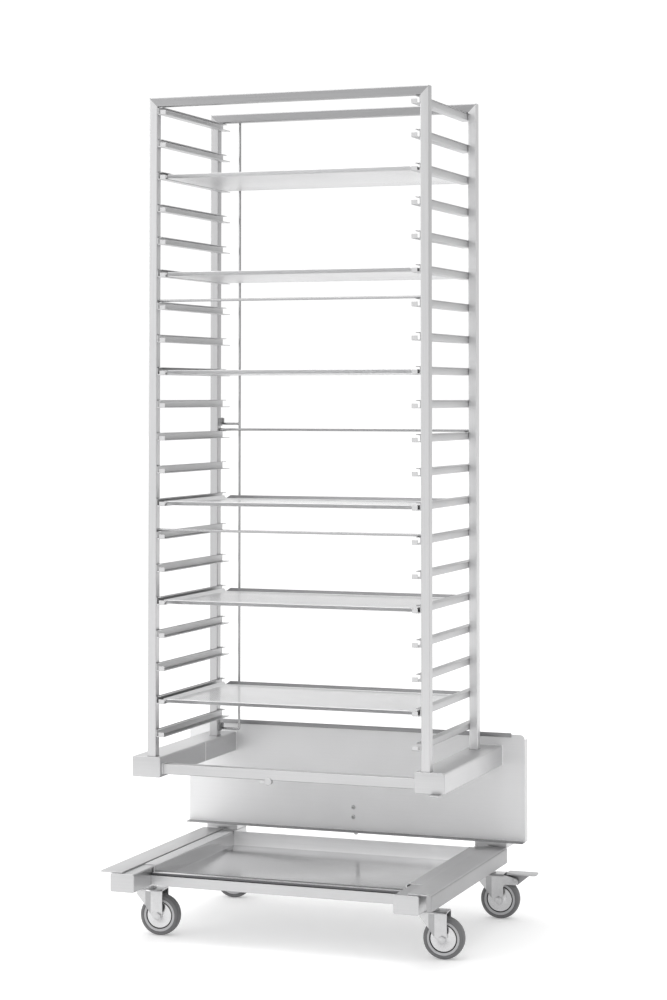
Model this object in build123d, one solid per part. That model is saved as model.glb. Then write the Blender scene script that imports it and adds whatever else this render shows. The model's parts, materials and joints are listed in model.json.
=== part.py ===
"""Drive-in trolley: a tray rack on a low wheeled chassis, with a sealing plate at the rear.

Millimetres. X runs to the right and Z up. Y runs from the front, where the trays' stops are, to the
rear, where the sealing plate stands. While the pieces are made, X = 0 is the middle of the rack, Y = 0
the front face of the front uprights and Z = 0 the floor. At the end everything moves together, so that
the origin is the middle of the trolley's footprint, on the floor.
"""
import math
import os

from build123d import *

# Rack
FRAME_TUBE = 18.0
FRAME_WALL = 1.5
FRAME_CORNER = 2.0
RACK_WIDTH = 588.0
RACK_DEPTH = 328.0

# Runners
LEVEL_COUNT = 20
RUNNER_PITCH = 65.0
RUNNER_HEIGHT = 15.5
RUNNER_SHEET = 1.5
RUNNER_UPPER_FLANGE = 10.0
RUNNER_LOWER_FLANGE = 18.0
RUNNER_OVERHANG = 4.0
RUNNER_TOP_GAP = 0.5
LOWEST_RUNNER_GAP = 39.0
STOP_WIDTH = 12.0
STOP_HEIGHT = 9.0

# Trays
TRAY_LEVELS = (3, 6, 9, 13, 16, 19)
TRAY_WIDTH = 530.0
TRAY_DEPTH = 325.0
TRAY_RIM_HEIGHT = 8.5
TRAY_SIDE_RIM_RUN = 4.5
TRAY_END_RIM_RUN = 8.5
TRAY_SHEET = 1.0
TRAY_STOP_GAP = 0.5

# Cross rods
ROD_DIAMETER = 5.0
FRONT_ROD_LEVELS = (7, 14)
REAR_ROD_LEVEL = 11

# Bar that keeps the trays in
BAR_DIAMETER = 5.0
BAR_REACH = 40.0
BAR_TOP_ARM_DROP = 5.0
BAR_MIDDLE_ARM_ABOVE_ROD_LEVEL = 14.5
BAR_BOTTOM_ARM_ABOVE_BEAMS = 13.5
EYE_OUTER_DIAMETER = 9.0
EYE_HEIGHT = 9.0
EYE_FACE_GAP = 0.5
EYE_PLATE_THICKNESS = 3.0
EYE_PLATE_HEIGHT = 16.0
EYE_PLATE_LENGTH = 16.0
EYE_ARM_GAP = 0.3
PIN_PROTRUSION = 1.0
PIVOT_CLEARANCE = 0.05

# Upper frame
BEAM_WIDTH = 60.0
BEAM_HEIGHT = 40.0
BEAM_WALL = 2.0
BEAM_CORNER = 3.0
BEAM_CLEAR_WIDTH = 528.0
BEAM_UNDERSIDE = 312.0
BEAM_FRONT = -5.0
END_CAP = 2.0
UPPER_RAIL_SIZE = 20.0
UPPER_RAIL_FRONT = 5.0
UPPER_RAIL_DROP = 14.0
RAIL_WALL = 1.5
RAIL_CORNER = 2.0
LUG_X = -38.5
LUG_DIAMETER = 15.0
LUG_DEPTH = 5.0
LUG_DROP = 2.0
LUG_TAB_WIDTH = 24.0
LUG_TAB_OFFSET = 6.0
LUG_TAB_DROP = 7.0
BEAM_TAB_WIDTH = 21.0
BEAM_TAB_THICKNESS = 3.0
BEAM_TAB_REACH = 14.0
BEAM_TAB_LAP = 8.0
BEAM_TAB_INSET = 6.0

# Sealing plate
PLATE_WIDTH = 744.0
PLATE_BOTTOM = 158.0
PLATE_TOP = 375.0
PLATE_FRONT = 385.0
PLATE_SHEET = 2.0
PLATE_CORNER = 10.0
PLATE_HEM = 17.0
PLATE_SIDE_FOLD = 15.0
LIP_WIDTH = 686.0
LIP_HEIGHT = 8.5
LIP_DEPTH = 3.0
LIP_ABOVE_PLATE = 3.0
POST_WIDTH = 70.0
POST_DEPTH = 50.0
POST_WALL = 2.0
POST_CORNER = 3.0

# Latch behind the plate
SCREW_Z = (188.0, 208.0)
SCREW_DIAMETER = 5.0
SCREW_HEAD_DIAMETER = 9.0
SCREW_HEAD_HEIGHT = 3.0
SCREW_GRIP = 5.0
HOUSING_WIDTH = 30.0
HOUSING_DEPTH = 26.0
HOUSING_BOTTOM = 178.0
HOUSING_HEIGHT = 40.0
HOUSING_FLOOR = 5.0
HOUSING_LID = 3.0
CAVITY_DIAMETER = 14.0
LATCH_AXIS_SETBACK = 15.5
LATCH_PIN_DIAMETER = 8.0
LATCH_PIN_TIP = 146.5
LATCH_COLLAR_DIAMETER = 13.0
LATCH_COLLAR_HEIGHT = 3.0
LATCH_NECK = 12.0
LATCH_KNOB_DIAMETER = 18.0
LATCH_KNOB_HEIGHT = 14.0
SPRING_WIRE = 1.2
SPRING_MEAN_DIAMETER = 11.0
SPRING_TURNS = 6
SPRING_END_GAP = 0.3

# Chassis
SIDE_TUBE_WIDTH = 50.0
SIDE_TUBE_HEIGHT = 35.0
SIDE_TUBE_WALL = 2.0
SIDE_TUBE_CORNER = 3.0
SIDE_TUBE_UNDERSIDE = 110.0
SIDE_TUBE_FRONT = -127.0
SIDE_TUBE_REAR = 440.0
CHASSIS_CLEAR_WIDTH = 526.0
LOWER_RAIL_SIZE = 20.0
LOWER_RAIL_FRONT = -48.0
REAR_RAIL_SETBACK = 10.0
WING_THICKNESS = 3.0
WING_WIDTH = 47.0
WING_INNER_EDGE = 289.0
WING_FRONT = -122.0
WING_REAR = 376.0
SKIRT_DEPTH = 31.0
SKIRT_RETURN = 10.0

# Drip tray
DRIP_SHEET = 1.5
DRIP_SIDE_GAP = 2.0
DRIP_REAR = 364.0
DRIP_FLOOR_Z = 115.0
DRIP_FLANGE_GAP = 2.0
DRIP_RAIL_GAP = 1.0
DRIP_LIP_HEIGHT = 4.0
DRIP_LIP_CLEARANCE = 1.5
DRIP_WALL_OVERRUN = 14.0

# Casters, in a frame of their own: x along the trail, y along the axle, z up from the floor
WHEEL_DIAMETER = 80.0
WHEEL_WIDTH = 25.0
WHEEL_TRAIL = 21.0
TYRE_BORE = 64.0
TYRE_CROWN = 2.7
CORE_WIDTH = 22.6
CORE_RECESS_DIAMETER = 52.0
CORE_HUB_WIDTH = 18.0
DISC_DIAMETER = 50.0
DISC_THICKNESS = 1.6
DISC_BOSS_DIAMETER = 16.0
DISC_GAP = 0.4
CASTER_OFFSET_FROM_TUBE = 6.0
FRONT_CASTER_Y = 20.0
REAR_CASTER_Y = 398.0
CASTER_TURN = 5.0
AXLE_DIAMETER = 8.0
AXLE_HEAD_WIDTH = 13.0
AXLE_HEAD_HEIGHT = 4.0
FORK_SHEET = 2.5
FORK_TOP = 91.0
FORK_CROWN_THICKNESS = 3.0
FORK_HALF_WIDTH = 20.0
FORK_NECK_HALF_WIDTH = 16.5
FORK_BACK = -24.0
FORK_NECK_END = -8.0
FORK_PAD_START = 6.0
FORK_PAD_END = 30.0
FORK_SHOULDER_Z = 80.0
FORK_FOOT_RADIUS = 9.0
BRAKE_ARM_END = 62.0
BRAKE_ARM_RADIUS = 9.0
BRAKE_ARCH_CLEARANCE = 6.0
PEDAL_PIVOT_X = 54.0
PEDAL_PIVOT_Z = 81.0
PEDAL_PIN_DIAMETER = 6.0
PEDAL_PIN_HEAD_DIAMETER = 10.0
PEDAL_PIN_HEAD_HEIGHT = 2.0
PEDAL_SIDE_GAP = 0.5
PEDAL_BACK_X = 36.0
PEDAL_BACK_Z = 90.5
PEDAL_TIP_X = 97.0
PEDAL_TIP_Z = 97.0
PEDAL_PLATE = 2.5
PEDAL_HEEL_X = 82.0
PEDAL_NOSE_Z = 70.0
PEDAL_NOSE_WIDTH = 8.0
PEDAL_WEB_WIDTH = 20.0
STEM_DIAMETER = 14.0
STEM_WASHER_DIAMETER = 24.0
STEM_WASHER_HEIGHT = 3.0
STEM_JOURNAL_DIAMETER = 12.0
STEM_RIVET_DIAMETER = 20.0
STEM_RIVET_HEIGHT = 3.0
STEM_BOLT_DIAMETER = 10.0
STEM_BOLT_LENGTH = 14.0
STEM_NUT_WIDTH = 17.0
STEM_NUT_HEIGHT = 8.0
END_PLAY = 0.1
HOLE_CLEARANCE = 0.1

# Worked out from the sizes above
RACK_HALF = RACK_WIDTH / 2
UPRIGHT_INNER = RACK_HALF - FRAME_TUBE
RACK_FOOT = BEAM_UNDERSIDE + BEAM_HEIGHT
REAR_PORTAL_Y = RACK_DEPTH - FRAME_TUBE
LOWEST_LEVEL_TOP = RACK_FOOT + LOWEST_RUNNER_GAP + RUNNER_HEIGHT
TOTAL_HEIGHT = LOWEST_LEVEL_TOP + (LEVEL_COUNT - 1) * RUNNER_PITCH + RUNNER_TOP_GAP + FRAME_TUBE
RUNNER_REAR = RACK_DEPTH + RUNNER_OVERHANG
RUNNER_LIP_X = UPRIGHT_INNER - RUNNER_LOWER_FLANGE
TRAY_FRONT = RUNNER_SHEET + TRAY_STOP_GAP
PIVOT_X = -UPRIGHT_INNER
PIVOT_Y = RACK_DEPTH + EYE_FACE_GAP + EYE_OUTER_DIAMETER / 2
BEAM_INNER = BEAM_CLEAR_WIDTH / 2
BEAM_OUTER = BEAM_INNER + BEAM_WIDTH
PLATE_REAR = PLATE_FRONT + PLATE_SHEET
SIDE_TUBE_INNER = CHASSIS_CLEAR_WIDTH / 2
SIDE_TUBE_OUTER = SIDE_TUBE_INNER + SIDE_TUBE_WIDTH
SIDE_TUBE_TOP = SIDE_TUBE_UNDERSIDE + SIDE_TUBE_HEIGHT
WING_OUTER_EDGE = WING_INNER_EDGE + WING_WIDTH
LATCH_Y = PLATE_REAR + LATCH_AXIS_SETBACK
HOUSING_TOP = HOUSING_BOTTOM + HOUSING_HEIGHT
CAVITY_FLOOR = HOUSING_BOTTOM + HOUSING_FLOOR
CASTER_X = (SIDE_TUBE_INNER + SIDE_TUBE_OUTER) / 2 + CASTER_OFFSET_FROM_TUBE
WHEEL_RADIUS = WHEEL_DIAMETER / 2
LEFT = -1
RIGHT = 1


def slab(x, y, z):
    """A box between two X, two Y and two Z values, each pair in either order."""
    x, y, z = sorted(x), sorted(y), sorted(z)
    centre = ((x[0] + x[1]) / 2, (y[0] + y[1]) / 2, (z[0] + z[1]) / 2)
    return Pos(*centre) * Box(x[1] - x[0], y[1] - y[0], z[1] - z[0])


def on_side(side, inner, outer):
    """The X range of a piece that lies between two distances from the middle, left or right."""
    return (side * inner, side * outer)


def cylinder(start, direction, diameter, length):
    """A round bar from a point along a direction."""
    return extrude(Plane(origin=start, z_dir=direction) * Circle(diameter / 2), amount=length)


def hexagon(start, direction, width, length):
    """A hexagonal prism, such as a nut or a bolt's head, with its width across the flats."""
    face = Plane(origin=start, z_dir=direction) * RegularPolygon(width / 2, 6, major_radius=False)
    return extrude(face, amount=length, dir=direction)


def hollow_tube(x, y, z, along, wall, corner):
    """A rectangular tube with rounded corners that fills a box and is open at both ends."""
    x, y, z = sorted(x), sorted(y), sorted(z)
    size = {"X": x[1] - x[0], "Y": y[1] - y[0], "Z": z[1] - z[0]}
    plane, across, up = {
        "X": (Plane.YZ, size["Y"], size["Z"]),
        "Y": (Plane.XZ, size["X"], size["Z"]),
        "Z": (Plane.XY, size["X"], size["Y"]),
    }[along]
    section = RectangleRounded(across, up, corner)
    section -= RectangleRounded(across - 2 * wall, up - 2 * wall, max(corner - wall, wall / 4))
    centre = ((x[0] + x[1]) / 2, (y[0] + y[1]) / 2, (z[0] + z[1]) / 2)
    return Pos(*centre) * extrude(plane * section, amount=size[along] / 2, both=True)


def prism_y(points, y):
    """A prism along Y over a polygon given as (x, z) points."""
    face = Plane(origin=(0, y[0], 0), x_dir=(1, 0, 0), z_dir=(0, -1, 0)) * Polygon(*points, align=None)
    return extrude(face, amount=y[1] - y[0], dir=(0, 1, 0))


def level_top(level):
    """The height of the top of a level's runners. Level 1 is the highest."""
    return LOWEST_LEVEL_TOP + (LEVEL_COUNT - level) * RUNNER_PITCH


# Rack frame

def upright(side, y_front):
    """One upright, cut at 45 degrees where it meets the top rail."""
    y = (y_front, y_front + FRAME_TUBE)
    tube = hollow_tube(on_side(side, UPRIGHT_INNER, RACK_HALF), y, (RACK_FOOT, TOTAL_HEIGHT),
                       "Z", FRAME_WALL, FRAME_CORNER)
    beyond_mitre = prism_y([
        (side * RACK_HALF, TOTAL_HEIGHT),
        (side * UPRIGHT_INNER, TOTAL_HEIGHT),
        (side * UPRIGHT_INNER, TOTAL_HEIGHT - FRAME_TUBE),
    ], y)
    return tube - beyond_mitre


def top_rail(y_front):
    """A rail across the top of two uprights, mitred at both ends."""
    y = (y_front, y_front + FRAME_TUBE)
    rail = hollow_tube((-RACK_HALF, RACK_HALF), y, (TOTAL_HEIGHT - FRAME_TUBE, TOTAL_HEIGHT),
                       "X", FRAME_WALL, FRAME_CORNER)
    for side in (LEFT, RIGHT):
        rail -= prism_y([
            (side * RACK_HALF, TOTAL_HEIGHT),
            (side * RACK_HALF, TOTAL_HEIGHT - FRAME_TUBE),
            (side * UPRIGHT_INNER, TOTAL_HEIGHT - FRAME_TUBE),
        ], y)
    return rail


def runner(side, level):
    """One C-shaped runner with its upturned front stop."""
    top = level_top(level)
    bottom = top - RUNNER_HEIGHT
    y = (0, RUNNER_REAR)
    web = slab(on_side(side, UPRIGHT_INNER - RUNNER_SHEET, UPRIGHT_INNER), y, (bottom, top))
    upper = slab(on_side(side, UPRIGHT_INNER - RUNNER_UPPER_FLANGE, UPRIGHT_INNER), y,
                 (top - RUNNER_SHEET, top))
    lower = slab(on_side(side, RUNNER_LIP_X, UPRIGHT_INNER), y, (bottom, bottom + RUNNER_SHEET))
    stop = slab(on_side(side, RUNNER_LIP_X, RUNNER_LIP_X + STOP_WIDTH), (0, RUNNER_SHEET),
                (bottom, bottom + STOP_HEIGHT))
    return web + upper + lower + stop


def runners(side):
    """All the runners of one side, one solid for each level."""
    return Compound([runner(side, level) for level in range(1, LEVEL_COUNT + 1)])


def cross_rods():
    """Thin rods between the uprights, lying on the runners' upper flanges."""
    places = [(level, FRAME_TUBE / 2) for level in FRONT_ROD_LEVELS]
    places.append((REAR_ROD_LEVEL, REAR_PORTAL_Y + FRAME_TUBE / 2))
    return Compound([
        cylinder((-UPRIGHT_INNER, y, level_top(level) + ROD_DIAMETER / 2), (1, 0, 0),
                 ROD_DIAMETER, 2 * UPRIGHT_INNER)
        for level, y in places
    ])


def tray_shell(inset, lift):
    """The solid space inside a tray's outline, drawn in by an inset and raised by a lift."""
    half_width = TRAY_WIDTH / 2 - inset
    half_depth = TRAY_DEPTH / 2 - inset
    foot = Rectangle(2 * (half_width - TRAY_SIDE_RIM_RUN), 2 * (half_depth - TRAY_END_RIM_RUN))
    mouth = Rectangle(2 * half_width, 2 * half_depth)
    return loft([Pos(0, 0, lift) * foot, Pos(0, 0, lift + TRAY_RIM_HEIGHT) * mouth])


def tray(level):
    """A shallow tray with sloping rims, open at the top."""
    bottom = level_top(level) - RUNNER_HEIGHT + RUNNER_SHEET
    body = tray_shell(0, 0) - tray_shell(0, TRAY_SHEET)
    return Pos(0, TRAY_FRONT + TRAY_DEPTH / 2, bottom) * body


# Bar that keeps the trays in

def bar_arm_heights():
    """Each arm's height, with +1 where its pin points up into the eye and -1 where it points down."""
    return (
        (TOTAL_HEIGHT - BAR_TOP_ARM_DROP, -1),
        (level_top(REAR_ROD_LEVEL) + BAR_MIDDLE_ARM_ABOVE_ROD_LEVEL, 1),
        (RACK_FOOT + BAR_BOTTOM_ARM_ABOVE_BEAMS, 1),
    )


def retaining_bar():
    """An upright rod with three arms, each ending in a pivot pin."""
    rod_x = PIVOT_X + BAR_REACH
    heights = [z for z, up in bar_arm_heights()]
    bar = cylinder((rod_x, PIVOT_Y, min(heights)), (0, 0, 1), BAR_DIAMETER, max(heights) - min(heights))
    pin_length = BAR_DIAMETER / 2 + EYE_ARM_GAP + EYE_HEIGHT + PIN_PROTRUSION
    for z, up in bar_arm_heights():
        bar += cylinder((PIVOT_X, PIVOT_Y, z), (1, 0, 0), BAR_DIAMETER, BAR_REACH)
        bar += Pos(rod_x, PIVOT_Y, z) * Sphere(BAR_DIAMETER / 2)
        bar += Pos(PIVOT_X, PIVOT_Y, z) * Sphere(BAR_DIAMETER / 2)
        bar += cylinder((PIVOT_X, PIVOT_Y, z), (0, 0, up), BAR_DIAMETER, pin_length)
    return bar


def bar_eye(z, up, with_plate):
    """A small eye behind the rear left upright, on a plate that lies on the upright's inner face."""
    start = z + up * (BAR_DIAMETER / 2 + EYE_ARM_GAP)
    end = start + up * EYE_HEIGHT
    eye = cylinder((PIVOT_X, PIVOT_Y, start), (0, 0, up), EYE_OUTER_DIAMETER, EYE_HEIGHT)
    if with_plate:
        far = end - up * EYE_PLATE_HEIGHT
        plate_x = (PIVOT_X, PIVOT_X + EYE_PLATE_THICKNESS)
        eye += slab(plate_x, (RACK_DEPTH - EYE_PLATE_LENGTH, RACK_DEPTH), (far, end))
        eye += slab(plate_x, (RACK_DEPTH, PIVOT_Y), (start, end))
    else:
        half = EYE_OUTER_DIAMETER / 2
        eye += slab((PIVOT_X - half, PIVOT_X + half), (RACK_DEPTH, PIVOT_Y), (start, end))
    bore_length = EYE_HEIGHT + 2 * EYE_ARM_GAP
    bore_start = (PIVOT_X, PIVOT_Y, start - up * EYE_ARM_GAP)
    return eye - cylinder(bore_start, (0, 0, up), BAR_DIAMETER + 2 * PIVOT_CLEARANCE, bore_length)


def bar_eyes():
    """The three eyes of the bar."""
    return Compound([bar_eye(z, up, up > 0) for z, up in bar_arm_heights()])


# Upper frame

def upper_beam(side):
    """A side beam of the upper frame, from its front cap to the sealing plate."""
    return hollow_tube(on_side(side, BEAM_INNER, BEAM_OUTER), (BEAM_FRONT + END_CAP, PLATE_FRONT),
                       (BEAM_UNDERSIDE, RACK_FOOT), "Y", BEAM_WALL, BEAM_CORNER)


def tube_end_cap(side, inner, width, y_front, bottom, height, corner):
    """A flat cap across a tube's open end."""
    centre = (side * (inner + width / 2), y_front + END_CAP / 2, bottom + height / 2)
    face = Plane.XZ * RectangleRounded(width, height, corner)
    return Pos(*centre) * extrude(face, amount=END_CAP / 2, both=True)


def tube_end_caps():
    """Caps on the front ends of the beams and on both ends of the side tubes."""
    caps = []
    for side in (LEFT, RIGHT):
        caps.append(tube_end_cap(side, BEAM_INNER, BEAM_WIDTH, BEAM_FRONT, BEAM_UNDERSIDE,
                                 BEAM_HEIGHT, BEAM_CORNER))
        for y_front in (SIDE_TUBE_FRONT, SIDE_TUBE_REAR - END_CAP):
            caps.append(tube_end_cap(side, SIDE_TUBE_INNER, SIDE_TUBE_WIDTH, y_front,
                                     SIDE_TUBE_UNDERSIDE, SIDE_TUBE_HEIGHT, SIDE_TUBE_CORNER))
    return Compound(caps)


def upper_front_rail():
    """The rail between the two beams, near their front ends."""
    top = RACK_FOOT - UPPER_RAIL_DROP
    return hollow_tube((-BEAM_INNER, BEAM_INNER),
                       (UPPER_RAIL_FRONT, UPPER_RAIL_FRONT + UPPER_RAIL_SIZE),
                       (top - UPPER_RAIL_SIZE, top), "X", RAIL_WALL, RAIL_CORNER)


def rail_lug():
    """A small tab under the front rail, with a round button on the rail's front face."""
    rail_underside = RACK_FOOT - UPPER_RAIL_DROP - UPPER_RAIL_SIZE
    button = cylinder((LUG_X, UPPER_RAIL_FRONT - LUG_DEPTH, rail_underside - LUG_DROP), (0, 1, 0),
                      LUG_DIAMETER, LUG_DEPTH)
    tab_x = LUG_X - LUG_TAB_OFFSET
    tab = slab((tab_x - LUG_TAB_WIDTH / 2, tab_x + LUG_TAB_WIDTH / 2),
               (UPPER_RAIL_FRONT, UPPER_RAIL_FRONT + UPPER_RAIL_SIZE / 2),
               (rail_underside - LUG_TAB_DROP, rail_underside))
    return button + tab


def beam_tab():
    """A small flat tab that sticks out in front, from under the right beam."""
    inner = BEAM_OUTER - BEAM_TAB_INSET - BEAM_TAB_WIDTH
    return slab((inner, inner + BEAM_TAB_WIDTH), (BEAM_FRONT - BEAM_TAB_REACH, BEAM_FRONT + BEAM_TAB_LAP),
                (BEAM_UNDERSIDE - BEAM_TAB_THICKNESS, BEAM_UNDERSIDE))


# Sealing plate

def sealing_plate():
    """The plate with rounded top corners, its bottom edge folded forward and its sides folded back."""
    half = PLATE_WIDTH / 2
    height = PLATE_TOP - PLATE_BOTTOM
    plate = slab((-half, half), (PLATE_FRONT, PLATE_REAR), (PLATE_BOTTOM, PLATE_TOP))
    top_corners = plate.edges().filter_by(Axis.Y).group_by(Axis.Z)[-1]
    plate = fillet(top_corners, PLATE_CORNER)
    plate += slab((-half, half), (PLATE_FRONT - PLATE_HEM, PLATE_REAR),
                  (PLATE_BOTTOM, PLATE_BOTTOM + PLATE_SHEET))
    for side in (LEFT, RIGHT):
        plate += slab(on_side(side, half - PLATE_SHEET, half), (PLATE_FRONT, PLATE_REAR + PLATE_SIDE_FOLD),
                      (PLATE_BOTTOM, PLATE_BOTTOM + height - PLATE_CORNER))
    for z in SCREW_Z:
        plate -= cylinder((0, PLATE_FRONT, z), (0, 1, 0), SCREW_DIAMETER + 2 * HOLE_CLEARANCE, PLATE_SHEET)
    return plate


def plate_lip():
    """The narrow lip along the front of the plate's top edge."""
    top = PLATE_TOP + LIP_ABOVE_PLATE
    return slab((-LIP_WIDTH / 2, LIP_WIDTH / 2), (PLATE_FRONT - LIP_DEPTH, PLATE_FRONT),
                (top - LIP_HEIGHT, top))


def plate_post(side):
    """A box post behind the plate, standing on a side tube, and the cap on its top."""
    x = on_side(side, SIDE_TUBE_INNER, SIDE_TUBE_INNER + POST_WIDTH)
    cap_bottom = RACK_FOOT - END_CAP
    tube = hollow_tube(x, (PLATE_REAR, PLATE_REAR + POST_DEPTH), (SIDE_TUBE_TOP, cap_bottom),
                       "Z", POST_WALL, POST_CORNER)
    centre = ((x[0] + x[1]) / 2, PLATE_REAR + POST_DEPTH / 2, cap_bottom)
    cap = Pos(*centre) * extrude(RectangleRounded(POST_WIDTH, POST_DEPTH, POST_CORNER), amount=END_CAP)
    return [tube, cap]


def plate_posts():
    """The two capped posts behind the plate."""
    return Compound(plate_post(LEFT) + plate_post(RIGHT))


def plate_screws():
    """The screws that hold the latch housing to the plate."""
    screws = []
    for z in SCREW_Z:
        head = cylinder((0, PLATE_FRONT - SCREW_HEAD_HEIGHT, z), (0, 1, 0), SCREW_HEAD_DIAMETER,
                        SCREW_HEAD_HEIGHT)
        shank = cylinder((0, PLATE_FRONT, z), (0, 1, 0), SCREW_DIAMETER, PLATE_SHEET + SCREW_GRIP)
        screws.append(head + shank)
    return Compound(screws)


def latch_housing():
    """A block with a round cavity for the spring, and the lid that closes it."""
    half = HOUSING_WIDTH / 2
    y = (PLATE_REAR, PLATE_REAR + HOUSING_DEPTH)
    lid_bottom = HOUSING_TOP - HOUSING_LID
    guide = LATCH_PIN_DIAMETER + 2 * HOLE_CLEARANCE
    block = slab((-half, half), y, (HOUSING_BOTTOM, lid_bottom))
    block -= cylinder((0, LATCH_Y, CAVITY_FLOOR), (0, 0, 1), CAVITY_DIAMETER, lid_bottom - CAVITY_FLOOR)
    block -= cylinder((0, LATCH_Y, HOUSING_BOTTOM), (0, 0, 1), guide, HOUSING_FLOOR)
    for z in SCREW_Z:
        block -= cylinder((0, PLATE_REAR, z), (0, 1, 0), SCREW_DIAMETER + 2 * HOLE_CLEARANCE,
                          SCREW_GRIP + HOLE_CLEARANCE)
    lid = slab((-half, half), y, (lid_bottom, HOUSING_TOP))
    lid -= cylinder((0, LATCH_Y, lid_bottom), (0, 0, 1), guide, HOUSING_LID)
    return Compound([block, lid])


def latch_pin():
    """The latch's pin with its collar and its pull knob."""
    knob_bottom = HOUSING_TOP + LATCH_NECK
    pin = cylinder((0, LATCH_Y, LATCH_PIN_TIP), (0, 0, 1), LATCH_PIN_DIAMETER, knob_bottom - LATCH_PIN_TIP)
    pin += cylinder((0, LATCH_Y, CAVITY_FLOOR), (0, 0, 1), LATCH_COLLAR_DIAMETER, LATCH_COLLAR_HEIGHT)
    pin += cylinder((0, LATCH_Y, knob_bottom), (0, 0, 1), LATCH_KNOB_DIAMETER, LATCH_KNOB_HEIGHT)
    return pin


def latch_spring():
    """The spring between the pin's collar and the housing's lid."""
    radius = SPRING_MEAN_DIAMETER / 2
    start = CAVITY_FLOOR + LATCH_COLLAR_HEIGHT + SPRING_END_GAP + SPRING_WIRE / 2
    end = HOUSING_TOP - HOUSING_LID - SPRING_END_GAP - SPRING_WIRE / 2
    path = Pos(0, LATCH_Y, start) * Helix((end - start) / SPRING_TURNS, end - start, radius)
    wire = Plane(origin=path @ 0, z_dir=path % 0) * Circle(SPRING_WIRE / 2)
    return sweep(wire, path=path, is_frenet=True)


# Chassis

def side_tube(side):
    """A side tube of the chassis, with a hole in its underside for each caster's stem."""
    tube = hollow_tube(on_side(side, SIDE_TUBE_INNER, SIDE_TUBE_OUTER),
                       (SIDE_TUBE_FRONT + END_CAP, SIDE_TUBE_REAR - END_CAP),
                       (SIDE_TUBE_UNDERSIDE, SIDE_TUBE_TOP), "Y", SIDE_TUBE_WALL, SIDE_TUBE_CORNER)
    for y in (FRONT_CASTER_Y, REAR_CASTER_Y):
        tube -= cylinder((side * CASTER_X, y, SIDE_TUBE_UNDERSIDE), (0, 0, 1),
                         STEM_BOLT_DIAMETER + 2 * HOLE_CLEARANCE, SIDE_TUBE_WALL)
    return tube


def lower_cross_rails():
    """The rails between the side tubes: one near the front, one near the rear end."""
    rear_rail_front = SIDE_TUBE_REAR - REAR_RAIL_SETBACK - LOWER_RAIL_SIZE
    return Compound([
        hollow_tube((-SIDE_TUBE_INNER, SIDE_TUBE_INNER), (y_front, y_front + LOWER_RAIL_SIZE),
                    (SIDE_TUBE_UNDERSIDE, SIDE_TUBE_UNDERSIDE + LOWER_RAIL_SIZE), "X",
                    RAIL_WALL, RAIL_CORNER)
        for y_front in (LOWER_RAIL_FRONT, rear_rail_front)
    ])


def wing(side):
    """A flat wing on top of a side tube. The right one has a skirt down its outer edge."""
    top = SIDE_TUBE_TOP + WING_THICKNESS
    y = (WING_FRONT, WING_REAR)
    plate = slab(on_side(side, WING_INNER_EDGE, WING_OUTER_EDGE), y, (SIDE_TUBE_TOP, top))
    if side == LEFT:
        return plate
    skirt_bottom = top - SKIRT_DEPTH
    plate += slab((WING_OUTER_EDGE - WING_THICKNESS, WING_OUTER_EDGE), y, (skirt_bottom, top))
    plate += slab((WING_OUTER_EDGE - SKIRT_RETURN, WING_OUTER_EDGE),
                  (WING_FRONT, WING_FRONT + WING_THICKNESS), (skirt_bottom, top))
    return plate


def drip_tray():
    """A deep tray between the side tubes, hanging by its side flanges and hooked over the front rail."""
    outer = SIDE_TUBE_INNER - DRIP_SIDE_GAP
    flange_top = SIDE_TUBE_TOP + DRIP_SHEET
    flange_outer = WING_INNER_EDGE - DRIP_FLANGE_GAP
    rail_rear = LOWER_RAIL_FRONT + LOWER_RAIL_SIZE
    rail_top = SIDE_TUBE_UNDERSIDE + LOWER_RAIL_SIZE
    wall_front = rail_rear + DRIP_RAIL_GAP
    hook_top = rail_top + DRIP_LIP_CLEARANCE + DRIP_LIP_HEIGHT
    y = (wall_front, DRIP_REAR)
    body = slab((-outer, outer), y, (DRIP_FLOOR_Z, flange_top))
    body -= slab((-outer + DRIP_SHEET, outer - DRIP_SHEET), (wall_front + DRIP_SHEET, DRIP_REAR - DRIP_SHEET),
                 (DRIP_FLOOR_Z + DRIP_SHEET, flange_top))
    body -= slab((-outer + DRIP_SHEET, outer - DRIP_SHEET), (wall_front, wall_front + DRIP_SHEET),
                 (hook_top, flange_top))
    for side in (LEFT, RIGHT):
        body += slab(on_side(side, outer - DRIP_SHEET, flange_outer), y, (SIDE_TUBE_TOP, flange_top))
        body += slab(on_side(side, outer - DRIP_SHEET, outer), (wall_front - DRIP_WALL_OVERRUN, wall_front),
                     (hook_top - DRIP_SHEET, flange_top))
    hook_front = LOWER_RAIL_FRONT
    body += slab((-outer, outer), (hook_front, wall_front + DRIP_SHEET), (hook_top - DRIP_SHEET, hook_top))
    body += slab((-outer, outer), (hook_front, hook_front + DRIP_SHEET), (hook_top - DRIP_LIP_HEIGHT, hook_top))
    return body


# Casters

def tangent_point(point, centre, radius, turn):
    """Where a line from a point touches a circle. turn is +1 or -1 and picks one of the two."""
    away = (point[0] - centre[0], point[1] - centre[1])
    distance = math.hypot(*away)
    angle = math.atan2(away[1], away[0]) + turn * math.acos(radius / distance)
    return (centre[0] + radius * math.cos(angle), centre[1] + radius * math.sin(angle))


def axle_cylinder(diameter, y):
    """A round bar along the wheel's axle between two values of y."""
    return cylinder((WHEEL_TRAIL, y[0], WHEEL_RADIUS), (0, 1, 0), diameter, y[1] - y[0])


def fork_plan(inset, back, end):
    """The fork seen from above: a narrow neck that widens to the flat pads beside the wheel."""
    neck = FORK_NECK_HALF_WIDTH - inset
    pad = FORK_HALF_WIDTH - inset
    return Polygon(
        (back, -neck), (FORK_NECK_END, -neck), (FORK_PAD_START, -pad), (end, -pad),
        (end, pad), (FORK_PAD_START, pad), (FORK_NECK_END, neck), (back, neck), align=None)


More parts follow.
